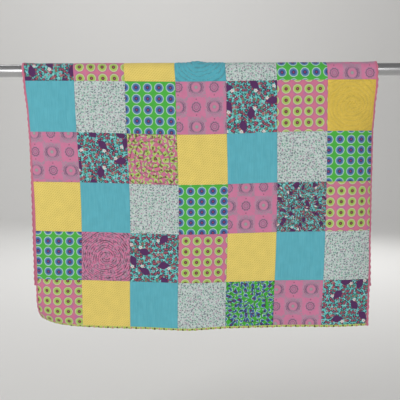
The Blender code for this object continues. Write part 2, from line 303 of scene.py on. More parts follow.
def fold_depth(u, v):
    """Depth of the soft upright folds, growing from the rail down each panel."""
    front = sum(d * np.sin(2 * np.pi * (u - start) / width) for d, width, start in FRONT_FOLDS)
    back = sum(d * np.sin(2 * np.pi * (u - start) / width) for d, width, start in BACK_FOLDS)
    below = np.where(v > 0, v, AXIS_BACK - BACK_STILL - v)
    return smooth(below / FRONT_V) * np.where(v > 0, front, back)


def right_draw(u, v):
    """How far the right side is drawn in towards the middle."""
    past = np.maximum((u - RIGHT_FROM) / (EDGE_U - RIGHT_FROM), 0)
    released = smooth((v / PATCH - RELEASE_ROWS[0]) / (RELEASE_ROWS[1] - RELEASE_ROWS[0]))
    down_the_back = (AXIS_BACK - v) / (AXIS_BACK - BACK_V)
    back = BACK_DRAW * np.sin(np.pi * down_the_back) * (u / EDGE_U + 1) / 2
    return RIGHT_DRAW * past**2 * (1 - RIGHT_RELEASE * released) + np.where(v < AXIS_BACK, back, 0)


def hang(u, v):
    """Where the quilt's middle layer hangs, for points of the flat quilt."""
    # First the cloth slides in its own plane: x to the side, and along down the panel
    sag = np.exp(-(((u - SAG_MIDDLE) / SAG_WIDTH) ** 2))
    along = v + sag * (SAG_TOP + SAG_FRONT * smooth(v / PATCH))
    along = along - HEM_RISE * smooth(v / PATCH - 4) * smooth((u - HEM_RISE_FROM) / HEM_RISE_REACH)
    x = u * (1 - DRAW_IN * smooth(v / (DRAW_IN_ROWS * PATCH)))
    x = x - SWAY * np.cos(np.pi * v / SWAY_LENGTH) * smooth(1 + v / PATCH)
    x = x - DRAG * np.exp(-(((v - (AXIS_FRONT + AXIS_BACK) / 2) / DRAG_LENGTH) ** 2))
    x = x - right_draw(u, v)
    # Then the sides turn back and the corner rolls. A parabola is deep by bend times the square of
    # its width, and takes two thirds of bend squared times the cube from the width.
    past = np.maximum(np.abs(u) - (EDGE_U - TURN_REACH), 0)
    bend = np.where(u < 0, turn_depth(v, 1), turn_depth(v, 2)) / TURN_REACH**2
    x = x - np.copysign(2 / 3 * bend**2 * past**3, u)
    from_corner = (u + EDGE_U) * math.sin(CURL_SLANT) + (FRONT_V + BORDER - v) * math.cos(CURL_SLANT)
    rolling = np.maximum(CURL_REACH - from_corner, 0)
    pulled = 2 / 3 * CURL**2 * rolling**3
    x = x + pulled * math.sin(CURL_SLANT)
    along = along - pulled * math.cos(CURL_SLANT)
    lean = LEAN * smooth((v - LEAN_FROM) / (FRONT_V - LEAN_FROM))
    depth = bend * past**2 + CURL * rolling**2 + fold_depth(u, v) + lean
    # Last it bends round the rail: a half circle between two upright panels
    off = BEND + EDGE_LIFT * smooth((np.abs(u) - HALF_WIDTH + EDGE_LIFT_REACH) / EDGE_LIFT_REACH)
    angle = np.clip((AXIS_FRONT - along) / BEND, 0, np.pi)
    panels = [along > AXIS_FRONT, along < AXIS_BACK]
    y = np.select(panels, [depth - off, off - depth], -off * np.cos(angle))
    z = np.select(panels, [AXIS_FRONT - along, along - AXIS_BACK], off * np.sin(angle))
    return np.stack([x, y, z], -1)


def outward(u, v, step=0.0005):
    """The direction that stands off the pieced side."""
    across = hang(u + step, v) - hang(u - step, v)
    down = hang(u, v + step) - hang(u, v - step)
    out = np.cross(down, across)
    return out / np.linalg.norm(out, axis=-1, keepdims=True)


def place(u, v, height):
    """Points that stand off the middle layer, out from the pieced side."""
    u, v, height = np.broadcast_arrays(*(np.asarray(a, float) for a in (u, v, height)))
    return hang(u, v) + outward(u, v) * height[..., None]


corners = place([-EDGE_U, EDGE_U], [FRONT_V + BORDER] * 2, 0)
print("front hem corners", corners.round(3).tolist())

# %% [markdown]
# ## Cutting the squares
#
# Each square becomes a small closed cushion: a fine upper face that rolls down into its seams,
# and a coarse underside that nobody sees. The squares of one print are one piece, because a
# maker cuts them from one cloth. Every point also keeps where it lies in its own square, which
# places the print, the quilting and the wrinkles without any picture.

# %% Which print each square has
PRINTS = ("teal", "mint_sprig", "green_spot", "pink_medallion", "aqua_floral", "lime_spot", "yellow_dash")
PRINT_STEP = 3  # each row starts three prints further on than the row above it
PRINT_START = 4
RING_START = 4
RING_STEP = 3
ROWS = range(1 - BACK_ROWS, FRONT_ROWS + 1)  # row 0 lies over the rail, row 5 ends at the front hem
SQUARES = [(column, row) for row in ROWS for column in range(1, COLUMNS + 1)]


def print_of(column, row):
    """Which print a square is cut from; columns count from 1 at the left."""
    return PRINTS[(column - 1 + PRINT_START + PRINT_STEP * row) % len(PRINTS)]


def is_ringed(column, row):
    """Whether this square is the one of its row that is quilted in a spiral."""
    return column == (RING_START + RING_STEP * row - 1) % COLUMNS + 1


def sides_of(column, row):
    """The left, right, top and bottom of a square on the flat quilt."""
    left, right = (column - 1 - COLUMNS / 2) * PATCH, (column - COLUMNS / 2) * PATCH
    top, bottom = (row - 1) * PATCH, row * PATCH
    return max(left, -HALF_WIDTH), min(right, HALF_WIDTH), max(top, BACK_V), min(bottom, FRONT_V)


def number_of(column, row):
    """A number that is another one for each square, for what differs from square to square."""
    return 0.1 * column + row


for row in (0, 1):
    print("row", row, [print_of(column, row) for column in range(1, COLUMNS + 1)])

# %% The points of one square
SEAM_LOW = 0.0006  # height of the cloth in the seams, over the middle layer
UNDERSIDE = 0.0004
SEAM_ROLL = 0.0026  # width of the rounded edge beside a seam
RIM_GAP = 0.0004  # the cloth ends this far inside the binding's fold
RING_LOW = 0.0004
PLAIN_CELLS = 40
RINGED_CELLS = 76
UNDER_CELLS = (4, 16)
FADE_WIDTH = 0.007  # quilting relief dies out over this distance from a seam


def seam_lines(low, high, cells, first, last):
    """Line positions across a square, close together where the cloth rolls into a seam."""
    near = SEAM_ROLL * np.array([0, 0.12, 0.35, 0.65])
    lines = [low + near, np.linspace(low + SEAM_ROLL, high - SEAM_ROLL, cells), (high - near)[::-1]]
    if first:
        lines.insert(0, [low - BORDER + RIM_GAP])
    if last:
        lines.append([high + BORDER - RIM_GAP])
    return np.concatenate(lines)


def seam_distance(lines, low, high, first, last):
    """How far each line is from the nearest seam that joins two squares."""
    from_low = np.full(lines.shape, np.inf) if first else lines - low
    from_high = np.full(lines.shape, np.inf) if last else high - lines
    return np.minimum(from_low, from_high)


def rolled(distance):
    """0 in a seam and 1 past its rounded edge, as a quarter circle."""
    t = np.clip(distance / SEAM_ROLL, 0, 1)
    return np.sqrt(1 - (1 - t) ** 2)


def under_loop(i_cell, j_cell, n, m):
    """The grid points round one cell of the underside: its corners, and the outline that it touches."""
    (a, b), (c, d) = i_cell, j_cell
    loop = [(i, c) for i in range(a, b)] + [(b, j) for j in range(c, d)]
    loop += [(i, d) for i in range(b, a, -1)] + [(a, j) for j in range(d, c, -1)]
    corners = {(a, c), (b, c), (b, d), (a, d)}
    return [key for key in loop if key in corners or key[0] in (0, n - 1) or key[1] in (0, m - 1)]


def grid_faces(n, m, start=0, closed=False):
    """Four-sided faces over a grid of n by m points. A closed grid joins its last line to its first."""
    i, j = np.meshgrid(np.arange(n - 1), np.arange(m if closed else m - 1), indexing="ij")
    one, two = (start + i * m + j).ravel(), (start + i * m + (j + 1) % m).ravel()
    return np.stack([one, two, two + m, one + m], -1)


def square_points(column, row):
    """The flat lines of one square, with the height and the fade of its relief at each crossing."""
    left, right, top, bottom = sides_of(column, row)
    sides = (column == 1, column == COLUMNS)
    ends = (row == ROWS[0], row == ROWS[-1])
    ringed = is_ringed(column, row)
    cells = RINGED_CELLS if ringed else PLAIN_CELLS
    us = seam_lines(left, right, cells, *sides)
    vs = seam_lines(top, bottom, RINGED_CELLS if row == 0 else cells, *ends)
    across, down = seam_distance(us, left, right, *sides), seam_distance(vs, top, bottom, *ends)
    roll = rolled(across)[:, None] * rolled(down)[None, :]
    swell = np.clip(np.sin(np.pi * (us - left) / (right - left)), 0, 1)[:, None]
    swell = swell * np.clip(np.sin(np.pi * (vs - top) / (bottom - top)), 0, 1)[None, :]
    high = QUILT_HALF + (RING_LOW * smooth(4 * swell) if ringed else CROWN * np.sqrt(swell))
    edge_u = np.clip(np.minimum(us - left, right - us), 0, None)[:, None]
    edge_v = np.clip(np.minimum(vs - top, bottom - vs), 0, None)[None, :]
    fade = smooth(edge_u / FADE_WIDTH) * smooth(edge_v / FADE_WIDTH)
    return us, vs, SEAM_LOW + (high - SEAM_LOW) * roll, fade


print("ringed squares", [key for key in SQUARES if is_ringed(*key)])

# %% [markdown]
# ## Quilting relief with Geometry Nodes
#
# A square quilted in a tight spiral stands up in soft ridges between the rows of stitches, and
# the gathered cloth puckers across them. The shape follows a rule, so nodes make it: the number
# of turns at a point is its radius over the row spacing less its share of a full turn. The sine
# of the part turn is the ridge, and it is zero along the stitches. Plain squares only get
# the long soft wrinkles of cloth that has hung for a while.

# %% The spiral
ROW_SPACING = 0.0127  # half an inch between the turns of the spiral
WOBBLE = 0.28  # a hand-guided spiral strays by this share of the spacing
WOBBLE_ACROSS = (74.0, 47.0, 5.0)  # radians for a metre across, a metre up, and from square to square
WOBBLE_ALONG = (-39.0, 88.0, 3.0)


def add_spiral(tree, middle, spacing):
    """The number of turns of the spiral at a point of its square, with the angle and the flat point."""
    flat = add_node(tree, "ShaderNodeVectorMath", {0: middle, 1: (1, 1, 0)}, operation="MULTIPLY")
    radius = add_node(tree, "ShaderNodeVectorMath", {0: flat}, operation="LENGTH").outputs["Value"]
    x, y = add_node(tree, "ShaderNodeSeparateXYZ", {0: flat}).outputs[:2]
    angle = add_node(tree, "ShaderNodeMath", {0: y, 1: x}, operation="ARCTAN2")
    turns = add_node(tree, "ShaderNodeMath", {0: radius, 1: spacing}, operation="DIVIDE")
    share = add_node(tree, "ShaderNodeMath", {0: angle, 1: 2 * math.pi}, operation="DIVIDE")
    turn = add_node(tree, "ShaderNodeMath", {0: turns, 1: share}, operation="SUBTRACT")
    for way in (WOBBLE_ACROSS, WOBBLE_ALONG):
        phase = add_node(tree, "ShaderNodeVectorMath", {0: middle, 1: way}, operation="DOT_PRODUCT")
        stray = add_node(tree, "ShaderNodeMath", {0: phase.outputs["Value"]}, operation="SINE")
        turn = add_node(tree, "ShaderNodeMath", {0: stray, 1: WOBBLE / 2, 2: turn}, operation="MULTIPLY_ADD")
    return turn, angle, flat


def wobble_at(across, up, number):
    """The same stray in turns, for the stitches."""
    waves = [np.sin(across * a + up * b + number * c) for a, b, c in (WOBBLE_ACROSS, WOBBLE_ALONG)]
    return WOBBLE / 2 * sum(waves)


print("turns from the middle of a square to its side", PATCH / 2 / ROW_SPACING)

# %% The relief tree
RIDGE_HEIGHT = 0.0012
RIDGE_FULLNESS = 0.7  # a power under 1 makes the ridges rounder than a sine
PUCKER_HEIGHT = 0.0014
PUCKER_SCALE = 230
WRINKLE_SCALE = 75
WRINKLE_STRETCH = (1, 0.13, 7)  # wrinkles run down the cloth, and differ from square to square
RELIEF_SEED = 4.0


def new_tree(name, inputs):
    """A Geometry Nodes tree, and the node by which its geometry and its named inputs enter."""
    tree = bpy.data.node_groups.new(name, "GeometryNodeTree")
    for label, kind in (("Geometry", "Geometry"), *inputs):
        tree.interface.new_socket(label, in_out="INPUT", socket_type=f"NodeSocket{kind}")
    tree.interface.new_socket("Geometry", in_out="OUTPUT", socket_type="NodeSocketGeometry")
    return tree, add_node(tree, "NodeGroupInput")


def build_relief_tree():
    """Raises ridges along a spiral on ringed squares, and wrinkles on plain ones."""
    tree, enter = new_tree("spiral_quilting", (
        ("Row spacing", "Float"), ("Ridge height", "Float"), ("Pucker height", "Float"), ("Seed", "Float"),
        ("Plain cloth", "Material"), ("Gathered cloth", "Material"),
    ))
    middle, out, ringed, fade, slack = [
        add_node(tree, "GeometryNodeInputNamedAttribute", {"Name": name}, data_type=kind)
        for name, kind in (
            ("middle", "FLOAT_VECTOR"), ("out", "FLOAT_VECTOR"), ("ringed", "FLOAT"), ("fade", "FLOAT"),
            ("slack", "FLOAT"),
        )
    ]
    turn, _, _ = add_spiral(tree, middle, enter.outputs["Row spacing"])
    part = add_node(tree, "ShaderNodeMath", {0: turn}, operation="FRACT")
    half_wave = add_node(tree, "ShaderNodeMath", {0: part, 1: math.pi}, operation="MULTIPLY")
    wave = add_node(tree, "ShaderNodeMath", {0: half_wave}, operation="SINE")
    ridge = add_node(tree, "ShaderNodeMath", {0: wave, 1: RIDGE_FULLNESS}, operation="POWER")
    seed = enter.outputs["Seed"]
    puckers = add_node(
        tree, "ShaderNodeTexNoise", {"Vector": middle, "W": seed, "Scale": PUCKER_SCALE, "Detail": 3},
        noise_dimensions="4D",
    )
    pucker = add_node(tree, "ShaderNodeMapRange", {
        "Value": puckers, "From Min": 0.3, "From Max": 0.7, "To Min": -1.0, "To Max": 1.0,
    })
    heights = {0: pucker, 1: enter.outputs["Pucker height"], 2: enter.outputs["Ridge height"]}
    lift = add_node(tree, "ShaderNodeMath", heights, operation="MULTIPLY_ADD")
    gathered = add_node(tree, "ShaderNodeMath", {0: ridge, 1: lift}, operation="MULTIPLY")
    drawn = add_node(tree, "ShaderNodeVectorMath", {0: middle, 1: WRINKLE_STRETCH}, operation="MULTIPLY")
    wrinkles = add_node(
        tree, "ShaderNodeTexNoise", {"Vector": drawn, "W": seed, "Scale": WRINKLE_SCALE, "Detail": 2.5},
        noise_dimensions="4D",
    )
    wrinkle = add_node(tree, "ShaderNodeMapRange", {"Value": wrinkles, "From Min": 0.5, "From Max": 0.75})
    hung = add_node(tree, "ShaderNodeMath", {0: wrinkle, 1: slack}, operation="MULTIPLY")
    height = add_node(tree, "ShaderNodeMix", {0: ringed, 2: hung, 3: gathered}, data_type="FLOAT")
    faded = add_node(tree, "ShaderNodeMath", {0: height, 1: fade}, operation="MULTIPLY")
    offset = add_node(tree, "ShaderNodeVectorMath", {0: out, "Scale": faded}, operation="SCALE")
    moved = add_node(tree, "GeometryNodeSetPosition", {"Geometry": enter, "Offset": offset})
    real = add_node(tree, "GeometryNodeRealizeInstances", {"Geometry": moved})
    plain = add_node(tree, "GeometryNodeSetMaterial", {
        "Geometry": real, "Material": enter.outputs["Plain cloth"],
    })
    chosen = add_node(
        tree, "FunctionNodeCompare", {0: ringed, 1: 0.5}, data_type="FLOAT", operation="GREATER_THAN"
    )
    both = add_node(tree, "GeometryNodeSetMaterial", {
        "Geometry": plain, "Selection": chosen, "Material": enter.outputs["Gathered cloth"],
    })
    add_node(tree, "NodeGroupOutput", {"Geometry": both})
    return tree
    return tree


def run_tree(ob, tree, inputs):
    """Runs a tree on an object with these inputs, keeps the result as a plain mesh."""
    ids = {item.name: item.identifier for item in tree.interface.items_tree if item.in_out == "INPUT"}
    modifier = ob.modifiers.new(tree.name, "NODES")
    modifier.node_group = tree
    for name, value in inputs.items():
        modifier[ids[name]] = value
    bpy.context.view_layer.update()
    graph = bpy.context.evaluated_depsgraph_get()
    made = bpy.data.meshes.new_from_object(ob.evaluated_get(graph), depsgraph=graph)
    ob.modifiers.clear()
    old, ob.data = ob.data, made
    if isinstance(old, bpy.types.Mesh):
        bpy.data.meshes.remove(old)
    made.name = ob.name
    return ob


relief_tree = build_relief_tree()
print("relief tree", len(relief_tree.nodes), "nodes")

# %% [markdown]
# ## Cotton
#
# All seven prints are plain woven quilting cotton: matt, with a faint sheen from its fibres. A
# real thread is about 0.3 mm thick, too fine to show here, so the weave is drawn at 1.2 mm. Each
# print is a function that takes a point of the cloth in millimetres and gives its colour. The
# gathered cloth of a ringed square goes through the same print, but each turn of the spiral
# tucks some of the cloth away, so the motifs come out as broken slivers.

# %% Gathered cloth
ROW_MM = ROW_SPACING * 1000
TUCK_MM = 13.0  # cloth hidden in each ridge
SLIDE_MM = 16.0  # how far neighbouring slivers have slid past each other
DRIFT_MM = 190.0  # how far the print is pulled out of shape, times the size of a sliver
print("cloth in each row of a gathered square", round(ROW_MM + TUCK_MM, 1), "mm")


def gather(tree, point, sliver_mm):
    """Where a point of gathered cloth lies on the flat cloth, and how much painted crease shade it gets."""
    middle = add_node(tree, "ShaderNodeAttribute", attribute_name="middle").outputs["Vector"]
    turn, angle, flat = add_spiral(tree, middle, ROW_SPACING)
    splits = max(1, round(ROW_MM / sliver_mm))
    finer = add_node(tree, "ShaderNodeMath", {0: turn, 1: splits}, operation="MULTIPLY")
    band = add_node(tree, "ShaderNodeMath", {0: finer}, operation="FLOOR")
    loose = add_node(tree, "ShaderNodeTexNoise", {"Vector": middle, "Scale": 62, "Detail": 2})
    # A turn further out is longer, so it is broken into more slivers
    more = ROW_MM / sliver_mm / splits
    reach = add_node(tree, "ShaderNodeMath", {0: band, 1: more, 2: more}, operation="MULTIPLY_ADD")
    around = add_node(tree, "ShaderNodeMath", {0: angle, 1: reach}, operation="MULTIPLY")
    along = add_node(tree, "ShaderNodeMath", {0: loose, 1: 3.0, 2: around}, operation="MULTIPLY_ADD")
    sliver = add_node(tree, "ShaderNodeMath", {0: along}, operation="FLOOR")
    piece = add_node(tree, "ShaderNodeCombineXYZ", {0: band, 1: sliver})
    chance = add_node(tree, "ShaderNodeTexWhiteNoise", {"Vector": piece}, noise_dimensions="3D")
    slide = add_node(
        tree, "ShaderNodeVectorMath", {0: chance.outputs["Color"], 1: (SLIDE_MM, SLIDE_MM, 0)},
        operation="MULTIPLY",
    )
    out = add_node(tree, "ShaderNodeVectorMath", {0: flat}, operation="NORMALIZE")
    tucked = add_node(tree, "ShaderNodeMath", {0: band, 1: TUCK_MM}, operation="MULTIPLY")
    hidden = add_node(tree, "ShaderNodeVectorMath", {0: out, "Scale": tucked}, operation="SCALE")
    pull = (DRIFT_MM / sliver_mm, DRIFT_MM / sliver_mm, 0)
    drift = add_node(tree, "ShaderNodeVectorMath", {0: loose.outputs["Color"], 1: pull}, operation="MULTIPLY")
    for shift in (slide, hidden, drift):
        point = add_node(tree, "ShaderNodeVectorMath", {0: point, 1: shift}, operation="ADD")
    # How near a point is to a crease, which gets painted shade
    part = add_node(tree, "ShaderNodeMath", {0: finer}, operation="FRACT")
    ends = add_node(tree, "ShaderNodeMath", {0: part, 1: 0.5}, operation="SUBTRACT")
    nearness = add_node(tree, "ShaderNodeMath", {0: ends}, operation="ABSOLUTE")
    crease = add_node(tree, "ShaderNodeMapRange", {"Value": nearness, "From Min": 0.2, "From Max": 0.4})
    # Painted crease shade: strong for a stretch along the spiral, where the stitches pull hard, and faint in
    # the next
    stretch = add_node(tree, "ShaderNodeCombineXYZ", {0: finer, 1: along})
    drawn_out = add_node(tree, "ShaderNodeVectorMath", {0: stretch, 1: (0.8, 0.45, 1)}, operation="MULTIPLY")
    pulls = add_node(tree, "ShaderNodeTexNoise", {"Vector": drawn_out, "Scale": 1.0, "Detail": 2})
    pulled = add_node(tree, "ShaderNodeMapRange", {"Value": pulls, "From Min": 0.45, "From Max": 0.58})
    return point, add_node(tree, "ShaderNodeMath", {0: crease, 1: pulled}, operation="MULTIPLY")


# %% The cloth of one print
WEAVE_MM = 1.2
WAVE_TEXTURE = 2 * math.pi / 20  # scale at which a wave texture repeats once in each unit


def make_cotton(name, paint, sliver_mm=None, depth=1.0, crease_shade=1.0):
    """Printed cotton. paint(tree, point) gives the colour at a point of the cloth in millimetres.

    Gathered cloth has the size of its slivers, how far painted bounce light from its folds
    deepens its colour, and how much light a hard crease keeps under its painted shade.
    """
    material, tree, shader = new_material(name)
    cloth = add_node(tree, "ShaderNodeUVMap", uv_map="cloth")
    flat = add_node(tree, "ShaderNodeVectorMath", {0: cloth, "Scale": 1000.0}, operation="SCALE")
    point, crease = gather(tree, flat, sliver_mm) if sliver_mm else (flat, None)
    colour = paint(tree, point)
    # Washed cotton is a little uneven in tone
    clouds = add_node(tree, "ShaderNodeTexNoise", {"Vector": flat, "Scale": 0.035, "Detail": 3})
    tone = add_node(tree, "ShaderNodeMapRange", {
        "Value": clouds, "From Min": 0.3, "From Max": 0.7, "To Min": 0.95, "To Max": 1.04,
    })
    colour = add_node(tree, "ShaderNodeVectorMath", {0: colour, "Scale": tone}, operation="SCALE")
    if sliver_mm:
        # Painted bounce light: a gamma deepens the colour, as folds that light each other with their own
        # colour would
        colour = add_node(tree, "ShaderNodeGamma", {"Color": colour, "Gamma": depth})
        # Painted shade darkens the creases, and a painted highlight brightens the cloth between them
        ridge_top_highlight = 1 + 0.12 * (1 - crease_shade)
        shade = add_node(tree, "ShaderNodeMapRange", {
            "Value": crease, "To Min": ridge_top_highlight, "To Max": crease_shade,
        })
        colour = add_node(tree, "ShaderNodeVectorMath", {0: colour, "Scale": shade}, operation="SCALE")
    # The weave: threads that cross over and under each other
    warp, weft = [
        add_node(
            tree, "ShaderNodeTexWave", {"Vector": flat, "Scale": WAVE_TEXTURE / WEAVE_MM}, bands_direction=way
        ).outputs["Fac"]
        for way in "XY"
    ]
    weave = add_node(tree, "ShaderNodeMath", {0: warp, 1: weft}, operation="MULTIPLY")
    fibres = add_node(tree, "ShaderNodeTexNoise", {"Vector": flat, "Scale": 0.5, "Detail": 4})
    relief = add_node(tree, "ShaderNodeMath", {0: weave, 1: fibres}, operation="ADD")
    rough = {"Value": relief, "From Max": 1.5, "To Min": 0.95, "To Max": 0.82}
    plug(tree, shader, {
        "Base Color": colour,
        "Normal": add_node(tree, "ShaderNodeBump", {"Height": relief, "Strength": 0.25, "Distance": 0.0003}),
        "Roughness": add_node(tree, "ShaderNodeMapRange", rough),
        "IOR": 1.53, "Specular IOR Level": 0.3, "Sheen Weight": 0.12, "Sheen Roughness": 0.5,
    })
    return material


# %% [markdown]
# ## The seven prints
#
# None of them is a picture: each is worked out from distances. Spots come from wrapping the cloth
# into a grid of cells and taking the distance to each cell's middle. Scattered sprigs come from
# Voronoi cells, whose places and random colours tell where a motif sits and what it looks like.


# %% Helpers for motifs
def in_cells(tree, point, cell):
    """The point measured from the middle of its cell of a grid, z left at 0."""
    half = (cell[0] / 2, cell[1] / 2, 1.0)
    low = tuple(-h for h in half)
    wrapped = add_node(tree, "ShaderNodeVectorMath", {0: point, 1: half, 2: low}, operation="WRAP")
    return add_node(tree, "ShaderNodeVectorMath", {0: wrapped, 1: (1, 1, 0)}, operation="MULTIPLY")


def petalled(tree, local, petals, depth):
    """The distance from a motif's middle, shorter and longer by turns so that a ring has petals."""
    radius = add_node(tree, "ShaderNodeVectorMath", {0: local}, operation="LENGTH").outputs["Value"]
    if not petals:
        return radius
    x, y = add_node(tree, "ShaderNodeSeparateXYZ", {0: local}).outputs[:2]
    angle = add_node(tree, "ShaderNodeMath", {0: y, 1: x}, operation="ARCTAN2")
    turns = add_node(tree, "ShaderNodeMath", {0: angle, 1: petals}, operation="MULTIPLY")
    wave = add_node(tree, "ShaderNodeMath", {0: turns}, operation="COSINE")
    factor = add_node(tree, "ShaderNodeMath", {0: wave, 1: -depth, 2: 1.0}, operation="MULTIPLY_ADD")
    return add_node(tree, "ShaderNodeMath", {0: radius, 1: factor}, operation="MULTIPLY")


def in_bands(tree, value, bands, blend="CONSTANT"):
    """Colours by a number: each band is the number where it begins, and its hex."""
    ramp = add_node(tree, "ShaderNodeValToRGB", {0: value})
    ramp.color_ramp.interpolation = blend
    stops = ramp.color_ramp.elements
    while len(stops) < len(bands):
        stops.new(0.5)
    for stop, (start, code) in zip(stops, bands):
        stop.position = start
        stop.color = linear(code)
    return ramp


def rings(tree, distance, bands):
    """Colours by distance: each band is the radius in millimetres where it begins, and its hex."""
    reach = bands[-1][0] * 1.25
    share = add_node(tree, "ShaderNodeMath", {0: distance, 1: reach}, operation="DIVIDE")
    return in_bands(tree, share, [(start / reach, code) for start, code in bands])


def lay_over(tree, ground, motif, distance, radius):
    """Lays a motif over a ground, where the distance from the motif's middle is under its radius."""
    inside = add_node(tree, "ShaderNodeMath", {0: distance, 1: radius}, operation="LESS_THAN")
    return add_node(tree, "ShaderNodeMix", {0: inside, 6: ground, 7: motif}, data_type="RGBA").outputs[2]


def scattered(tree, point, cell_mm, randomness):
    """Voronoi cells: the point measured from its cell's seed, and the cell's random colour."""
    cells = add_node(
        tree, "ShaderNodeTexVoronoi", {"Vector": point, "Scale": 1 / cell_mm, "Randomness": randomness},
        voronoi_dimensions="2D",
    )
    seed = cells.outputs["Position"]
    local = add_node(tree, "ShaderNodeVectorMath", {0: point, 1: seed}, operation="SUBTRACT")
    local = add_node(tree, "ShaderNodeVectorMath", {0: local, 1: (1, 1, 0)}, operation="MULTIPLY")
    return local, add_node(tree, "ShaderNodeSeparateColor", {0: cells.outputs["Color"]})


# %% Plain teal, green spots and lime spots
GREEN_SPOT_CELL = (34.4, 32.1)
LIME_SPOT_CELL = (34.3, 33.2)
print("spots", PATCH * 1000 / GREEN_SPOT_CELL[0], "and", PATCH * 1000 / LIME_SPOT_CELL[0], "to a square")


def paint_teal(tree, point):
    """A plain dyed cotton, with the fine paler streaks of its threads."""
    drawn = add_node(tree, "ShaderNodeVectorMath", {0: point, 1: (1, 0.06, 1)}, operation="MULTIPLY")
    streaks = add_node(tree, "ShaderNodeTexNoise", {"Vector": drawn, "Scale": 0.3, "Detail": 3})
    return in_bands(tree, streaks, ((0.0, "4BA1B2"), (1.0, "6ABAC6")), "LINEAR")


def paint_green_spot(tree, point):
    """Rows of ringed spots on bright green."""
    local = in_cells(tree, point, GREEN_SPOT_CELL)
    return rings(tree, petalled(tree, local, 9, 0.015), (
        (0.0, "5A3050"), (0.8, "9C486A"), (2.6, "353464"), (5.4, "486B9E"), (9.0, "5C86B0"),
        (11.8, "B2CFBC"), (13.9, "4AAE42"),
    ))


def paint_lime_spot(tree, point):
    """Rows of lime spots with a brown eye, on pink that turns towards mauve and back."""
    local = in_cells(tree, point, LIME_SPOT_CELL)
    distance = petalled(tree, local, 7, 0.015)
    spot = rings(tree, distance, (
        (0.0, "B8707C"), (1.5, "6B3F3E"), (5.2, "A3C05C"), (10.2, "B3C580"), (12.2, "D3CBAC"),
        (13.7, "A26E7C"),
    ))
    slow = add_node(tree, "ShaderNodeTexNoise", {"Vector": point, "Scale": 0.05})
    pink = in_bands(tree, slow, ((0.5, "CD748E"), (0.66, "C0709E")), "LINEAR")
    return lay_over(tree, pink, spot, distance, 15.4)


# %% Pink medallions
MEDALLION_CELL = (54.3, 56.5)
RAGGED_MM = 22.0  # how far the edges of the cells stray, from one side to the other


def paint_pink_medallion(tree, point):
    """A checker of pink and mauve, with a wide rosette in each mauve cell and a small one in each pink."""
    side = MEDALLION_CELL[0]
    stretch = (1, side / MEDALLION_CELL[1], 1)
    even = add_node(tree, "ShaderNodeVectorMath", {0: point, 1: stretch}, operation="MULTIPLY")
    mottle = add_node(tree, "ShaderNodeTexNoise", {"Vector": point, "Scale": 0.16, "Detail": 3})
    stray = {0: mottle.outputs["Color"], 1: (RAGGED_MM, RAGGED_MM, 0), 2: even}
    ragged = add_node(tree, "ShaderNodeVectorMath", stray, operation="MULTIPLY_ADD")
    to_corner = ((side - RAGGED_MM) / 2, (side - RAGGED_MM) / 2, 0)
    corner = add_node(tree, "ShaderNodeVectorMath", {0: ragged, 1: to_corner}, operation="ADD")
    checker = add_node(tree, "ShaderNodeTexChecker", {"Vector": corner, "Scale": 1 / side}).outputs["Fac"]
    local = in_cells(tree, even, (side, side))
    large = rings(tree, petalled(tree, local, 14, 0.045), (
        (0.0, "90A69E"), (4.4, "B87C98"), (6.6, "CC7A9B"), (12.6, "AA7892"), (14.6, "705270"),
        (18.8, "B2869F"), (20.4, "785A73"), (22.6, "B6859E"),
    ))
    # The dark rings of a wide rosette fade above and below its middle
    x, y = add_node(tree, "ShaderNodeSeparateXYZ", {0: local}).outputs[:2]
    high = add_node(tree, "ShaderNodeMath", {0: y}, operation="ABSOLUTE")
    fading = add_node(tree, "ShaderNodeMapRange", {
        "Value": high, "From Min": 10.0, "From Max": 17.0, "To Max": 0.75,
    })
    mauve = in_bands(tree, mottle, ((0.38, "9A8E9A"), (0.58, "BE7F9E")), "LINEAR")
    large = add_node(tree, "ShaderNodeMix", {0: fading, 6: large, 7: mauve}, data_type="RGBA").outputs[2]
    small = rings(tree, petalled(tree, local, 10, 0.06), (
        (0.0, "93808E"), (2.4, "C07898"), (5.2, "8F6482"), (7.6, "C4799C"), (10.2, "76546F"),
        (13.4, "B0809C"), (15.6, "D0779B"),
    ))
    # Two small dots stand over and under each small rosette
    folded = add_node(tree, "ShaderNodeCombineXYZ", {0: x, 1: high})
    from_dot = add_node(tree, "ShaderNodeVectorMath", {0: folded, 1: (0, 21.5, 0)}, operation="DISTANCE")
    small = lay_over(tree, small, linear("8A4A6E"), from_dot.outputs["Value"], 1.9)
    colour = add_node(tree, "ShaderNodeMix", {0: checker, 6: large, 7: small}, data_type="RGBA").outputs[2]
    fine = add_node(tree, "ShaderNodeTexNoise", {"Vector": point, "Scale": 0.33, "Detail": 2})
    speckled = add_node(tree, "ShaderNodeMapRange", {
        "Value": fine, "From Min": 0.4, "From Max": 0.65, "To Max": 0.42,
    })
    grey = linear("B0879C")
    return add_node(tree, "ShaderNodeMix", {0: speckled, 6: colour, 7: grey}, data_type="RGBA").outputs[2]


# %% Mint sprig and yellow dash
def strew(tree, point, colour, layers):
    """Strews motifs over a ground in layers.

    Each layer has the size of its cells, the radius and the petals of its motifs, how far it is
    moved off the others, the motifs' colours, and maybe an eye's radius and hex.
    """
    for cell, size, petals, shift, choices, *eyes in layers:
        moved = add_node(tree, "ShaderNodeVectorMath", {0: point, 1: (shift, shift, 0)}, operation="ADD")
        local, chance = scattered(tree, moved, cell, 0.8)
        distance = petalled(tree, local, petals, 0.25)
        motif = in_bands(tree, chance, choices)
        for radius, code in eyes:
            motif = lay_over(tree, motif, linear(code), distance, radius)
        colour = lay_over(tree, colour, motif, distance, size)
    return colour


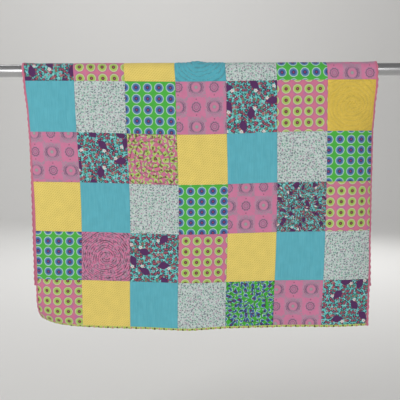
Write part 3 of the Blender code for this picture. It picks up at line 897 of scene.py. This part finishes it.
def paint_mint_sprig(tree, point):
    """A pale mint ground strewn with tiny blossoms and leaves."""
    return strew(tree, point, linear("C7D2CE"), (
        (4.4, 1.6, 3, 0.0, (
            (0.0, "94B2A8"), (0.3, "C7D2CE"), (0.45, "9FA4AA"), (0.68, "90BCA8"), (0.84, "BAAEBC"),
        )),
        (8.0, 2.1, 5, 37.0, (
            (0.0, "6A787A"), (0.3, "72A892"), (0.46, "A58A9C"), (0.62, "C7D2CE"), (0.76, "7C8890"),
        )),
    ))


DASH_CELL = (8.6, 5.8)
DASH_HALF = (3.1, 1.15, 1.0)


def paint_yellow_dash(tree, point):
    """Short slanting dashes on yellow, in rows that rise to the right."""
    turned = add_node(
        tree, "ShaderNodeVectorRotate", {"Vector": point, "Angle": math.radians(-45)}, rotation_type="Z_AXIS"
    )
    # Each row of dashes starts half a dash further on than the one below it
    x, y = add_node(tree, "ShaderNodeSeparateXYZ", {0: turned}).outputs[:2]
    step = DASH_CELL[0] / DASH_CELL[1] / 2
    along = add_node(tree, "ShaderNodeMath", {0: y, 1: step, 2: x}, operation="MULTIPLY_ADD")
    stepped = add_node(tree, "ShaderNodeCombineXYZ", {0: along, 1: y})
    local = in_cells(tree, stepped, DASH_CELL)
    # Measured in half dashes, a point lies in one where neither its x nor its y is over 1
    sized = add_node(tree, "ShaderNodeVectorMath", {0: local, 1: DASH_HALF}, operation="DIVIDE")
    away = add_node(tree, "ShaderNodeVectorMath", {0: sized}, operation="ABSOLUTE")
    x, y = add_node(tree, "ShaderNodeSeparateXYZ", {0: away}).outputs[:2]
    larger = add_node(tree, "ShaderNodeMath", {0: x, 1: y}, operation="MAXIMUM")
    return lay_over(tree, linear("E6CF72"), linear("D2B857"), larger, 1.0)


# %% Aqua floral
LEAF_LONG, LEAF_WIDE = 42.0, 21.0
LEAF_FULLNESS = 0.45
LEAF_CELL = 62.0
BLOSSOM_PLACE = (-0.30 * LEAF_LONG, 9.5, 0)  # from the middle of its leaf


def paint_aqua_floral(tree, point):
    """A crowded floral: dots on aqua, with dark leaves and a small white blossom beside each."""
    colour = strew(tree, point, linear("6CC2C0"), (
        (5.4, 2.1, 0, 0.0, (
            (0.0, "24384E"), (0.34, "6CC2C0"), (0.48, "3E8A74"), (0.64, "A4D4D0"), (0.78, "2C5C6C"),
        )),
        (11.6, 4.9, 6, 61.0, (
            (0.0, "46243E"), (0.34, "22344E"), (0.52, "6CC2C0"), (0.62, "3F7A56"), (0.74, "5A2C42"),
            (0.93, "A88078"),
        ), (2.6, "A85668")),
    ))
    local, chance = scattered(tree, point, LEAF_CELL, 0.75)
    turn = add_node(tree, "ShaderNodeMath", {0: chance.outputs[1], 1: 2 * math.pi}, operation="MULTIPLY")
    turned = add_node(
        tree, "ShaderNodeVectorRotate", {"Vector": local, "Angle": turn}, rotation_type="Z_AXIS"
    )
    x, y = add_node(tree, "ShaderNodeSeparateXYZ", {0: turned}).outputs[:2]
    # Half the leaf's width is a cosine along it, fuller towards one end
    around = add_node(tree, "ShaderNodeMath", {0: x, 1: math.pi / LEAF_LONG}, operation="MULTIPLY")
    middle = add_node(tree, "ShaderNodeMath", {0: around}, operation="COSINE")
    tip = add_node(tree, "ShaderNodeMath", {0: around}, operation="SINE")
    fuller = add_node(tree, "ShaderNodeMath", {0: tip, 1: LEAF_FULLNESS, 2: 1.0}, operation="MULTIPLY_ADD")
    width = add_node(tree, "ShaderNodeMath", {0: middle, 1: fuller}, operation="MULTIPLY")
    width = add_node(tree, "ShaderNodeMath", {0: width, 1: LEAF_WIDE / 2}, operation="MULTIPLY")
    away = add_node(tree, "ShaderNodeMath", {0: y}, operation="ABSOLUTE")
    beside = add_node(tree, "ShaderNodeVectorMath", {0: turned, 1: BLOSSOM_PLACE}, operation="SUBTRACT")
    distance = petalled(tree, beside, 5, 0.25)
    blossom = lay_over(tree, linear("DAD9D3"), linear("B4788A"), distance, 1.5)
    colour = lay_over(tree, colour, blossom, distance, 4.8)
    return lay_over(tree, colour, linear("552B5C"), away, width)


# %% Each print as plain and as gathered cloth
PAINTS = {
    # print: its painter, and for gathered cloth the size of its slivers in millimetres, the gamma
    # of its painted bounce light, and the light that its painted crease shade keeps
    "teal": (paint_teal, 9.0, 1.08, 0.74),
    "mint_sprig": (paint_mint_sprig, 7.0, 1.15, 0.75),
    "green_spot": (paint_green_spot, 20.0, 1.14, 0.42),
    "pink_medallion": (paint_pink_medallion, 6.5, 1.05, 0.12),
    "aqua_floral": (paint_aqua_floral, 15.0, 1.03, 0.5),
    "lime_spot": (paint_lime_spot, 17.0, 1.05, 0.42),
    "yellow_dash": (paint_yellow_dash, 10.0, 1.35, 0.9),
}
cottons = {
    name: (
        make_cotton(f"quilting cotton {name.replace('_', ' ')}", paint),
        make_cotton(f"gathered cotton {name.replace('_', ' ')}", paint, *gathered),
    )
    for name, (paint, *gathered) in PAINTS.items()
}
print("cottons", len(cottons))

# %% [markdown]
# ## Sewing the squares together
#
# Each print's squares are laid out flat, hung, and handed to the relief tree. The print starts
# at a slightly different place in each square, as cut cloth does.

# %% The squares
PRINT_PLACES = {
    # print: {(column, row): mm across and down from the square's upper left corner to a motif's middle}
    "green_spot": {
        (6, 0): (15.5, 1.5), (3, 1): (33.7, 18.1), (7, 2): (4.8, 25.6), (4, 3): (2.8, 19.6),
        (1, 4): (12.0, 30.2),
    },
    "lime_spot": {
        (2, 0): (19.3, 11.9), (6, 1): (26.4, 26.3), (7, 3): (12.8, 28.6), (4, 4): (22.8, 20.3),
        (1, 5): (5.2, 3.0),
    },
    "pink_medallion": {
        (7, 0): (74.5, 133.1), (4, 1): (61.6, 16.9), (1, 2): (72.4, 60.6), (5, 3): (56.0, 125.0),
        (6, 5): (61.4, 85.8),
    },
}
PRINT_SEED = 3
SLACK = {"teal": 0.0015}  # height of the hanging wrinkles
PLAIN_SLACK = 0.0004
LOOSE_PLEAT = (4, 0)  # the square on the rail whose gathered cloth stands up in a small pleat
PLEAT_HEIGHT = 0.0045
PLEAT_PLACE = (-0.010, AXIS_FRONT - 0.5 * math.pi * BEND)
PLEAT_REACH = (0.018, 0.007)


def loose_pleat(u, v):
    """How far the small pleat stands up."""
    away_u, away_v = (u - PLEAT_PLACE[0]) / PLEAT_REACH[0], (v - PLEAT_PLACE[1]) / PLEAT_REACH[1]
    return PLEAT_HEIGHT * np.exp(-(away_u**2) - away_v**2)


def keep(ob, label, values):
    """Keeps a number or a direction with each point of a mesh."""
    kind, field = ("FLOAT_VECTOR", "vector") if values.ndim > 1 else ("FLOAT", "value")
    ob.data.attributes.new(label, kind, "POINT").data.foreach_set(field, values.ravel())


def build_squares(name):
    """All the squares of one print, as one piece of closed cushions."""
    rng = np.random.default_rng(PRINTS.index(name) + PRINT_SEED)
    points, faces, cloth = [], [], []
    kept = {"middle": [], "out": [], "fade": [], "ringed": []}
    start = 0
    for column, row in [key for key in SQUARES if print_of(*key) == name]:
        us, vs, height, fade = square_points(column, row)
        n, m = len(us), len(vs)
        cuts_i, cuts_j = [
            np.unique(np.linspace(0, size - 1, cells + 1).astype(int))
            for size, cells in zip((n, m), UNDER_CELLS)
        ]
        inner = [(i, j) for i in cuts_i[1:-1] for j in cuts_j[1:-1]]
        under = {(i, j): start + i * m + j for i in range(n) for j in range(m)}
        under |= {key: start + n * m + k for k, key in enumerate(inner)}
        faces += grid_faces(n, m, start).tolist()
        for i_cell in zip(cuts_i, cuts_i[1:]):
            for j_cell in zip(cuts_j, cuts_j[1:]):
                faces.append([under[key] for key in under_loop(i_cell, j_cell, n, m)])
        u, v = np.meshgrid(us, vs, indexing="ij")
        u = np.concatenate([u.ravel(), us[[i for i, j in inner]]])
        v = np.concatenate([v.ravel(), vs[[j for i, j in inner]]])
        height = np.concatenate([height.ravel(), np.full(len(inner), UNDERSIDE)])
        if (column, row) == LOOSE_PLEAT:
            height += loose_pleat(u, v)
        out = outward(u, v)
        points.append(hang(u, v) + out * height[:, None])
        anywhere = rng.uniform(0, 1000 * PATCH, 2)
        across, below = np.array(PRINT_PLACES.get(name, {}).get((column, row), anywhere)) / 1000
        corner_u, corner_v = (column - 1 - COLUMNS / 2) * PATCH, (row - 1) * PATCH
        cloth.append(np.stack([u - corner_u - across, corner_v - v + below], -1))
        left, right, top, bottom = sides_of(column, row)
        number = np.full(len(u), number_of(column, row))
        kept["middle"].append(np.stack([u - (left + right) / 2, (top + bottom) / 2 - v, number], -1))
        kept["out"].append(out)
        kept["fade"].append(np.concatenate([fade.ravel(), np.zeros(len(inner))]))
        kept["ringed"].append(np.full(len(u), float(is_ringed(column, row))))
        start += len(u)
    ob = add_piece(f"squares_{name}", np.concatenate(points), faces, cloth=np.concatenate(cloth))
    for label, values in kept.items():
        keep(ob, label, np.concatenate(values))
    keep(ob, "slack", np.full(start, SLACK.get(name, PLAIN_SLACK)))
    plain, gathered = cottons[name]
    run_tree(ob, relief_tree, {
        "Row spacing": ROW_SPACING, "Ridge height": RIDGE_HEIGHT, "Pucker height": PUCKER_HEIGHT,
        "Seed": RELIEF_SEED, "Plain cloth": plain, "Gathered cloth": gathered,
    })
    for label in ("out", "fade", "slack"):
        ob.data.attributes.remove(ob.data.attributes[label])
    return ob


def triangles(ob):
    """How many triangles an object's mesh has."""
    return sum(len(face.vertices) - 2 for face in ob.data.polygons)


squares = [build_squares(name) for name in PRINTS]
print("squares", {ob.name: triangles(ob) for ob in squares})

# %% [markdown]
# ## Batting and backing
#
# Behind the squares lie a thin batting and one plain grey cloth, pressed together by the
# quilting. They are a single closed slab here, of even thickness, with its lines on the seams.
# Its cloth map lies at the flat size of the whole quilt.

# %% Backing
BATTING_TOP = 0.0003
BACKING_CELLS = 12
BEND_CELLS = 24  # in the row over the rail


def even_lines(seams, cells):
    """Line positions from rim to rim, with this many cells between two seams."""
    rim = BORDER - RIM_GAP
    lines = [seams[0] - rim]
    for low, high, count in zip(seams, seams[1:], cells):
        lines += [*np.linspace(low, high, count, endpoint=False)]
    return np.array([*lines, seams[-1], seams[-1] + rim])


def build_backing(material):
    """The batting and the backing as one closed slab."""
    seams_u = np.clip((np.arange(COLUMNS + 1) - COLUMNS / 2) * PATCH, -HALF_WIDTH, HALF_WIDTH)
    seams_v = np.clip(np.arange(-BACK_ROWS, FRONT_ROWS + 1) * PATCH, BACK_V, FRONT_V)
    us = even_lines(seams_u, [BACKING_CELLS] * COLUMNS)
    vs = even_lines(seams_v, [BEND_CELLS if row == 0 else BACKING_CELLS for row in ROWS])
    u, v = np.meshgrid(us, vs, indexing="ij")
    n, m = u.shape
    points = np.concatenate([place(u, v, height).reshape(-1, 3) for height in (BATTING_TOP, -QUILT_HALF)])
    upper = grid_faces(n, m)
    faces = np.concatenate([upper, upper[:, ::-1] + n * m]).tolist()
    rim = [k * m for k in range(n)] + [(n - 1) * m + k for k in range(1, m)]
    rim += [k * m + m - 1 for k in range(n - 2, -1, -1)] + [k for k in range(m - 2, 0, -1)]
    faces += [(one, two, two + n * m, one + n * m) for one, two in zip(rim, rim[1:] + rim[:1])]
    cloth = np.tile(np.stack([u.ravel(), -v.ravel()], -1), (2, 1))
    return add_piece("quilt_backing", points, faces, material, cloth)


def paint_backing(tree, point):
    """A plain grey cotton with a breath of mauve."""
    clouds = add_node(tree, "ShaderNodeTexNoise", {"Vector": point, "Scale": 0.02, "Detail": 2})
    return in_bands(tree, clouds, ((0.0, "85787C"), (1.0, "928489")), "LINEAR")


backing = build_backing(make_cotton("grey backing cotton", paint_backing))
print("backing triangles", triangles(backing))

# %% [markdown]
# ## Binding
#
# A doubled strip of cotton is sewn along each edge, folded round it and hemmed down on the back.
# Its section is a soft U. That section is carried along the edge in short steps, and the edge
# swells and draws in a little with the stitches that hold it, eight times in each square.

# %% Bindings
FIT_GAP = 0.0003
STRIP = 0.0009  # thickness of the folded strip
WAVE_HEIGHT = 0.0018
WAVE_MIDDLE = 0.3  # the wave swells less than it draws in
WAVES_PER_PATCH = 8
BINDING_INSIDE = QUILT_HALF + 0.00015
BINDING_HALF = BINDING_INSIDE + STRIP
BINDING_TIP = BORDER + FIT_GAP + STRIP
BINDING_NOSE = 0.0032
BINDING_STEP = 0.0025
NOSE_POINTS = 9
RUFFLES = (0.027, 0.043, 0.087)  # lengths of the uneven waves on top of the even ones
RUFFLE_HEIGHT = 0.0008
RUFFLE_PUFF = 0.10  # share by which they make the strip thicker and thinner
SEWN_EDGE = ((0.0, 0.80), (0.0007, 0.93), (0.0020, 1.0))  # out from the seam, share of the half thickness
HEMMED_EDGE = ((0.0020, 1.0), (0.0007, 0.95), (0.0, 0.86))


def nose(tip, length, half, turn):
    """Half an ellipse round the quilt's edge, from one side to the other."""
    angles = turn * np.linspace(math.pi / 2, -math.pi / 2, NOSE_POINTS)
    return [(tip - length * (1 - math.cos(a)), half * math.sin(a)) for a in angles]


def binding_section():
    """The U as points (out from the seam, off the middle layer), and how many are on its outside."""
    outer = [(out, share * BINDING_HALF) for out, share in SEWN_EDGE]
    outer += nose(BINDING_TIP, BINDING_NOSE, BINDING_HALF, 1)
    outer += [(out, -share * BINDING_HALF) for out, share in HEMMED_EDGE]
    inner = nose(BINDING_TIP - STRIP, BINDING_NOSE - STRIP, BINDING_INSIDE, -1)
    inner = [(0.0, -BINDING_INSIDE), *inner, (0.0, BINDING_INSIDE)]
    return np.array(outer + inner), len(outer)


def end_faces(k, outer_count):
    """Closes the U's wall at one end, by a strip between its outside and its inside."""
    inner_steps, outer_steps = k - outer_count - 1, outer_count - 1
    for a in range(outer_steps):
        b, c = [
            outer_count + int((outer_steps - p) * inner_steps / outer_steps + 0.5) for p in (a, a + 1)
        ]
        yield [a, a + 1, c] if b == c else [a, a + 1, c, b]


def bind_edge(name, seam, way, is_hem, material, seed):
    """A folded strip along one edge: where its seam lies on the flat quilt, and which way is out."""
    reach = HALF_WIDTH - 2 * FIT_GAP
    low, high = (-reach, reach) if is_hem else (BACK_V - BINDING_TIP, FRONT_V + BINDING_TIP)
    section, outer_count = binding_section()
    k, count = len(section), int((high - low) / BINDING_STEP) + 1
    along = np.linspace(low, high, count)[:, None]
    phases = np.random.default_rng(seed).uniform(0, 2 * np.pi, len(RUFFLES))
    wave = np.cos(2 * np.pi * WAVES_PER_PATCH * along / PATCH)
    ruffle = sum(np.sin(2 * np.pi * along / length + phase) for length, phase in zip(RUFFLES, phases))
    ruffle = ruffle / len(RUFFLES)
    moved = WAVE_HEIGHT * 0.5 * (wave - WAVE_MIDDLE) + RUFFLE_HEIGHT * ruffle
    out = section[:, 0] + moved * np.clip(section[:, 0] / BINDING_TIP, 0, 1) ** 2
    height = section[:, 1] * (1 + RUFFLE_PUFF * ruffle * (np.arange(k) < outer_count))
    u, v = seam + way * out, np.broadcast_to(along, out.shape)
    if is_hem:
        u, v = v, u
    faces = grid_faces(count, k, closed=True).tolist()
    for face in end_faces(k, outer_count):
        faces += [face[::-1], [(count - 1) * k + p for p in face]]
    around = np.concatenate([[0], np.cumsum(np.linalg.norm(np.diff(section, axis=0), axis=1))])
    cloth = np.stack(np.broadcast_arrays(along, around), -1).reshape(-1, 2)
    ob = add_piece(name, place(u, v, height).reshape(-1, 3), faces, material, cloth)
    bm = bmesh.new()
    bm.from_mesh(ob.data)
    bmesh.ops.recalc_face_normals(bm, faces=bm.faces)
    bm.to_mesh(ob.data)
    bm.free()
    return ob


# %% Rose and lime bindings
def paint_rose(tree, point):
    """A rose cotton, a little mottled."""
    clouds = add_node(tree, "ShaderNodeTexNoise", {"Vector": point, "Scale": 0.12, "Detail": 3})
    return in_bands(tree, clouds, ((0.0, "BC6480"), (1.0, "D47C92")), "LINEAR")


LIME_DOTS = (
    # place along the strip in millimetres, radius, hex
    (0.0, 3.1, "54362F"), (15.0, 2.7, "C66F88"), (7.5, 1.6, "6A9E48"), (22.5, 1.6, "6A9E48"),
)
LIME_DOT_CELL = (30.0, 9.0)
LIME_DOTS_ACROSS = 4.2  # they stand in a row this far round the strip


def paint_lime_dot(tree, point):
    """Dark dots and pink ones by turns on lime, with small green ones between."""
    colour = linear("B9C868")
    for along, radius, code in LIME_DOTS:
        shift = (along, -LIME_DOTS_ACROSS, 0)
        moved = add_node(tree, "ShaderNodeVectorMath", {0: point, 1: shift}, operation="ADD")
        distance = petalled(tree, in_cells(tree, moved, LIME_DOT_CELL), 0, 0)
        colour = lay_over(tree, colour, linear(code), distance, radius)
    return colour


rose = make_cotton("rose binding cotton", paint_rose)
lime = make_cotton("lime dotted binding cotton", paint_lime_dot)
side_bindings = [
    bind_edge("edge_binding_left", -HALF_WIDTH, -1, False, rose, 11),
    bind_edge("edge_binding_right", HALF_WIDTH, 1, False, rose, 12),
]
hem_bindings = [
    bind_edge("hem_binding_front", FRONT_V, 1, True, lime, 13),
    bind_edge("hem_binding_back", BACK_V, -1, True, lime, 14),
]
print("bindings", {ob.name: triangles(ob) for ob in side_bindings + hem_bindings})

# %% [markdown]
# ## Quilting stitches
#
# The spiral is sewn from the middle outwards with short running stitches that sink into the
# cloth. Each spiral is drawn as a line over its square, and Geometry Nodes walk along it: a point
# for each stitch, dropped onto the cloth by a ray, and a small bent thread set on each point.

# %% Spiral paths
STITCH_STEP = 0.0048
STITCH_LENGTH = 0.0030
THREAD_RADIUS = 0.00020
PATH_STEP = 0.0015
PATH_MARGIN = 0.004  # the spiral stops this far from the seams
FIRST_TURN = 0.35
LAST_TURN = 0.72 * PATCH / ROW_SPACING + 1  # past the corners of the square
SPIRAL_POINTS = 6000
SETTLING_ROUNDS = 4
print("turns of a spiral", round(LAST_TURN - FIRST_TURN, 1))


def spiral_runs(column, row):
    """The flat spiral cut to a square, as runs of points (u, v)."""
    left, right, top, bottom = sides_of(column, row)
    turns = np.linspace(FIRST_TURN, LAST_TURN, SPIRAL_POINTS)
    # The stitches lie where the radius over the spacing, less the share of a turn, plus the stray,
    # is a whole number. The stray depends on the point, so a few rounds settle it.
    angle = 2 * np.pi * turns
    radius = turns * ROW_SPACING
    for _ in range(SETTLING_ROUNDS):
        stray = wobble_at(radius * np.cos(angle), radius * np.sin(angle), number_of(column, row))
        radius = np.maximum(turns - stray, 0.05) * ROW_SPACING
    u, v = (left + right) / 2 + radius * np.cos(angle), (top + bottom) / 2 - radius * np.sin(angle)
    inside = (np.minimum(u - left, right - u) > PATH_MARGIN) & (np.minimum(v - top, bottom - v) > PATH_MARGIN)
    length = np.concatenate([[0], np.cumsum(np.hypot(np.diff(u), np.diff(v)))])
    changes = np.flatnonzero(np.diff(np.concatenate([[0], inside, [0]])))
    for first, last in zip(changes[::2], changes[1::2] - 1):
        if length[last] - length[first] > 2 * STITCH_STEP:
            steps = np.arange(length[first], length[last], PATH_STEP)
            yield np.interp(steps, length, u), np.interp(steps, length, v)


def build_paths():
    """The paths of all the stitches as bare edges that float just over the cloth."""
    points, edges, outs, start = [], [], [], 0
    for column, row in [key for key in SQUARES if is_ringed(*key)]:
        for u, v in spiral_runs(column, row):
            points.append(place(u, v, QUILT_HALF))
            outs.append(outward(u, v))
            edges += [(start + k, start + k + 1) for k in range(len(u) - 1)]
            start += len(u)
    ob = add_piece("quilting_stitches", np.concatenate(points), [], edges=edges)
    keep(ob, "out", np.concatenate(outs))
    return ob


# %% The stitch tree
RAY_START = 0.01  # a stitch is dropped onto the cloth from this far off it
RAY_LENGTH = 0.02


def build_stitch_tree():
    """Sets a bent stitch at each step along the paths, lying on the cloth."""
    tree, enter = new_tree("running_stitches", (
        ("Cloth", "Collection"), ("Stitch step", "Float"), ("Stitch length", "Float"),
        ("Thread radius", "Float"), ("Thread", "Material"),
    ))
    path = add_node(tree, "GeometryNodeMeshToCurve", {"Mesh": enter})
    steps = {"Curve": path, "Length": enter.outputs["Stitch step"]}
    points = add_node(tree, "GeometryNodeCurveToPoints", steps, mode="LENGTH")
    out = add_node(tree, "GeometryNodeInputNamedAttribute", {"Name": "out"}, data_type="FLOAT_VECTOR")
    off = {0: out, 1: (RAY_START,) * 3, 2: add_node(tree, "GeometryNodeInputPosition")}
    above = add_node(tree, "ShaderNodeVectorMath", off, operation="MULTIPLY_ADD")
    back = add_node(tree, "ShaderNodeVectorMath", {0: out, "Scale": -1.0}, operation="SCALE")
    cloth = add_node(tree, "GeometryNodeCollectionInfo", {"Collection": enter.outputs["Cloth"]})
    ray = add_node(tree, "GeometryNodeRaycast", {
        "Target Geometry": add_node(tree, "GeometryNodeRealizeInstances", {"Geometry": cloth}),
        "Source Position": above, "Ray Direction": back, "Ray Length": RAY_LENGTH,
    })
    laid = add_node(tree, "GeometryNodeSetPosition", {
        "Geometry": points, "Selection": ray.outputs["Is Hit"], "Position": ray.outputs["Hit Position"],
    })
    # Each stitch points along the path, and then turns about itself until its back is up
    along = add_node(
        tree, "FunctionNodeAlignRotationToVector", {"Vector": points.outputs["Tangent"]},
        axis="X", pivot_axis="AUTO",
    )
    upright = add_node(
        tree, "FunctionNodeAlignRotationToVector", {"Rotation": along, "Vector": out},
        axis="Z", pivot_axis="X",
    )
    half, less = [
        add_node(tree, "ShaderNodeMath", {0: enter.outputs["Stitch length"], 1: share}, operation="MULTIPLY")
        for share in (0.5, -0.5)
    ]
    sunk, high = [
        add_node(tree, "ShaderNodeMath", {0: enter.outputs["Thread radius"], 1: times}, operation="MULTIPLY")
        for times in (-1.3, 2.2)
    ]
    bent = add_node(tree, "GeometryNodeCurveQuadraticBezier", {
        "Resolution": 4,
        "Start": add_node(tree, "ShaderNodeCombineXYZ", {0: less, 2: sunk}),
        "Middle": add_node(tree, "ShaderNodeCombineXYZ", {2: high}),
        "End": add_node(tree, "ShaderNodeCombineXYZ", {0: half, 2: sunk}),
    })
    ring = add_node(tree, "GeometryNodeCurvePrimitiveCircle", {
        "Resolution": 5, "Radius": enter.outputs["Thread radius"],
    })
    stitch = add_node(tree, "GeometryNodeCurveToMesh", {
        "Curve": bent, "Profile Curve": ring, "Fill Caps": True,
    })
    many = add_node(tree, "GeometryNodeInstanceOnPoints", {
        "Points": laid, "Instance": stitch, "Rotation": upright,
    })
    real = add_node(tree, "GeometryNodeRealizeInstances", {"Geometry": many})
    thread = add_node(tree, "GeometryNodeSetMaterial", {
        "Geometry": real, "Material": enter.outputs["Thread"],
    })
    add_node(tree, "NodeGroupOutput", {"Geometry": thread})
    return tree


# %% Sewing the spirals
def make_thread():
    """Matt cotton thread in a soft beige that goes with every print, its twist as light and dark."""
    material, tree, shader = new_material("quilting cotton thread")
    where = add_node(tree, "ShaderNodeTexCoord").outputs["Object"]
    twist = add_node(tree, "ShaderNodeTexNoise", {"Vector": where, "Scale": 700, "Detail": 2})
    plug(tree, shader, {
        "Base Color": in_bands(tree, twist, ((0.0, "A89A86"), (1.0, "C0B29C")), "LINEAR"),
        "Roughness": add_node(tree, "ShaderNodeMapRange", {"Value": twist, "To Min": 0.6, "To Max": 0.85}),
        "Sheen Weight": 0.2,
    })
    return material


pieced_top = bpy.data.collections.new("pieced_top")
for ob in squares:
    pieced_top.objects.link(ob)
stitches = run_tree(build_paths(), build_stitch_tree(), {
    "Cloth": pieced_top, "Stitch step": STITCH_STEP, "Stitch length": STITCH_LENGTH,
    "Thread radius": THREAD_RADIUS, "Thread": make_thread(),
})
bpy.data.collections.remove(pieced_top)
print("stitches", triangles(stitches), "triangles")

# %% [markdown]
# ## Rail
#
# A drawn steel tube, ground and polished until it mirrors the room in long soft bands. The mesh
# is its turned outline, spun once round, with each end's edge rounded off.

# %% Rail
RAIL_CHAMFER = 0.0015
RAIL_SIDES = 128
CHAMFER_STEPS = 6


def rail_outline():
    """Half of a lengthwise cut through the rail, from one end's middle to the other's."""
    outline = [(RAIL_HALF_LENGTH, 0.0), (RAIL_HALF_LENGTH, (RAIL_RADIUS - RAIL_CHAMFER) / 2)]
    for k in range(CHAMFER_STEPS, -1, -1):
        angle = math.radians(90) * k / CHAMFER_STEPS
        x = RAIL_HALF_LENGTH - RAIL_CHAMFER * (1 - math.sin(angle))
        outline.append((x, RAIL_RADIUS - RAIL_CHAMFER * (1 - math.cos(angle))))
    return [(-x, radius) for x, radius in outline] + outline[::-1]


def build_rail(material):
    """Spins the outline round the X axis."""
    bm = bmesh.new()
    points = [bm.verts.new((x, 0, radius)) for x, radius in rail_outline()]
    edges = [bm.edges.new(pair) for pair in zip(points, points[1:])]
    bmesh.ops.spin(
        bm, geom=points + edges, axis=(1, 0, 0), angle=2 * math.pi, steps=RAIL_SIDES, use_merge=True
    )
    bmesh.ops.remove_doubles(bm, verts=bm.verts, dist=0.00001)
    bmesh.ops.recalc_face_normals(bm, faces=bm.faces)
    ob = add_piece("rail_tube", [], [], material)
    bm.to_mesh(ob.data)
    bm.free()
    ob.data.shade_smooth()
    return ob


def make_polished_steel():
    """Polished stainless steel: a bright mirror, a little soft, with faint lengthwise grinding lines."""
    material, tree, shader = new_material("polished stainless steel")
    where = add_node(tree, "ShaderNodeTexCoord").outputs["Object"]
    drawn = add_node(tree, "ShaderNodeVectorMath", {0: where, 1: (2.5, 900, 900)}, operation="MULTIPLY")
    lines = add_node(tree, "ShaderNodeTexNoise", {"Vector": drawn, "Scale": 1.0, "Detail": 3})
    smears = add_node(tree, "ShaderNodeTexNoise", {"Vector": where, "Scale": 18, "Detail": 4})
    both = add_node(tree, "ShaderNodeMath", {0: lines, 1: smears}, operation="ADD")
    rough = {"Value": both, "From Min": 0.6, "From Max": 1.4, "To Min": 0.16, "To Max": 0.26}
    plug(tree, shader, {
        "Base Color": in_bands(tree, lines, ((0.0, "B9B9BB"), (1.0, "CDCDCD")), "LINEAR"),
        "Roughness": add_node(tree, "ShaderNodeMapRange", rough),
        "Normal": add_node(tree, "ShaderNodeBump", {"Height": lines, "Strength": 0.04, "Distance": 0.0002}),
        "Metallic": 1.0,
    })
    return material


rail = build_rail(make_polished_steel())
print("rail triangles", triangles(rail))

# %% [markdown]
# ## Fixing the pieces to the body
#
# Every piece rides on the part's one body, and the solids that the pieces stand for in model.glb
# are hidden.

# %% What each piece stands for
for ob, node, slot in (
    *[(ob, "quilt", "patchwork") for ob in (*squares, backing)],
    (stitches, None, "patchwork"),
    (side_bindings[0], "binding_left", "side_binding"),
    (side_bindings[1], "binding_right", "side_binding"),
    (hem_bindings[0], "binding_front_hem", "hem_binding"),
    (hem_bindings[1], "binding_back_hem", "hem_binding"),
    (rail, "rail", "rail"),
):
    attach(ob, "root")
    if node:
        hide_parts(node)
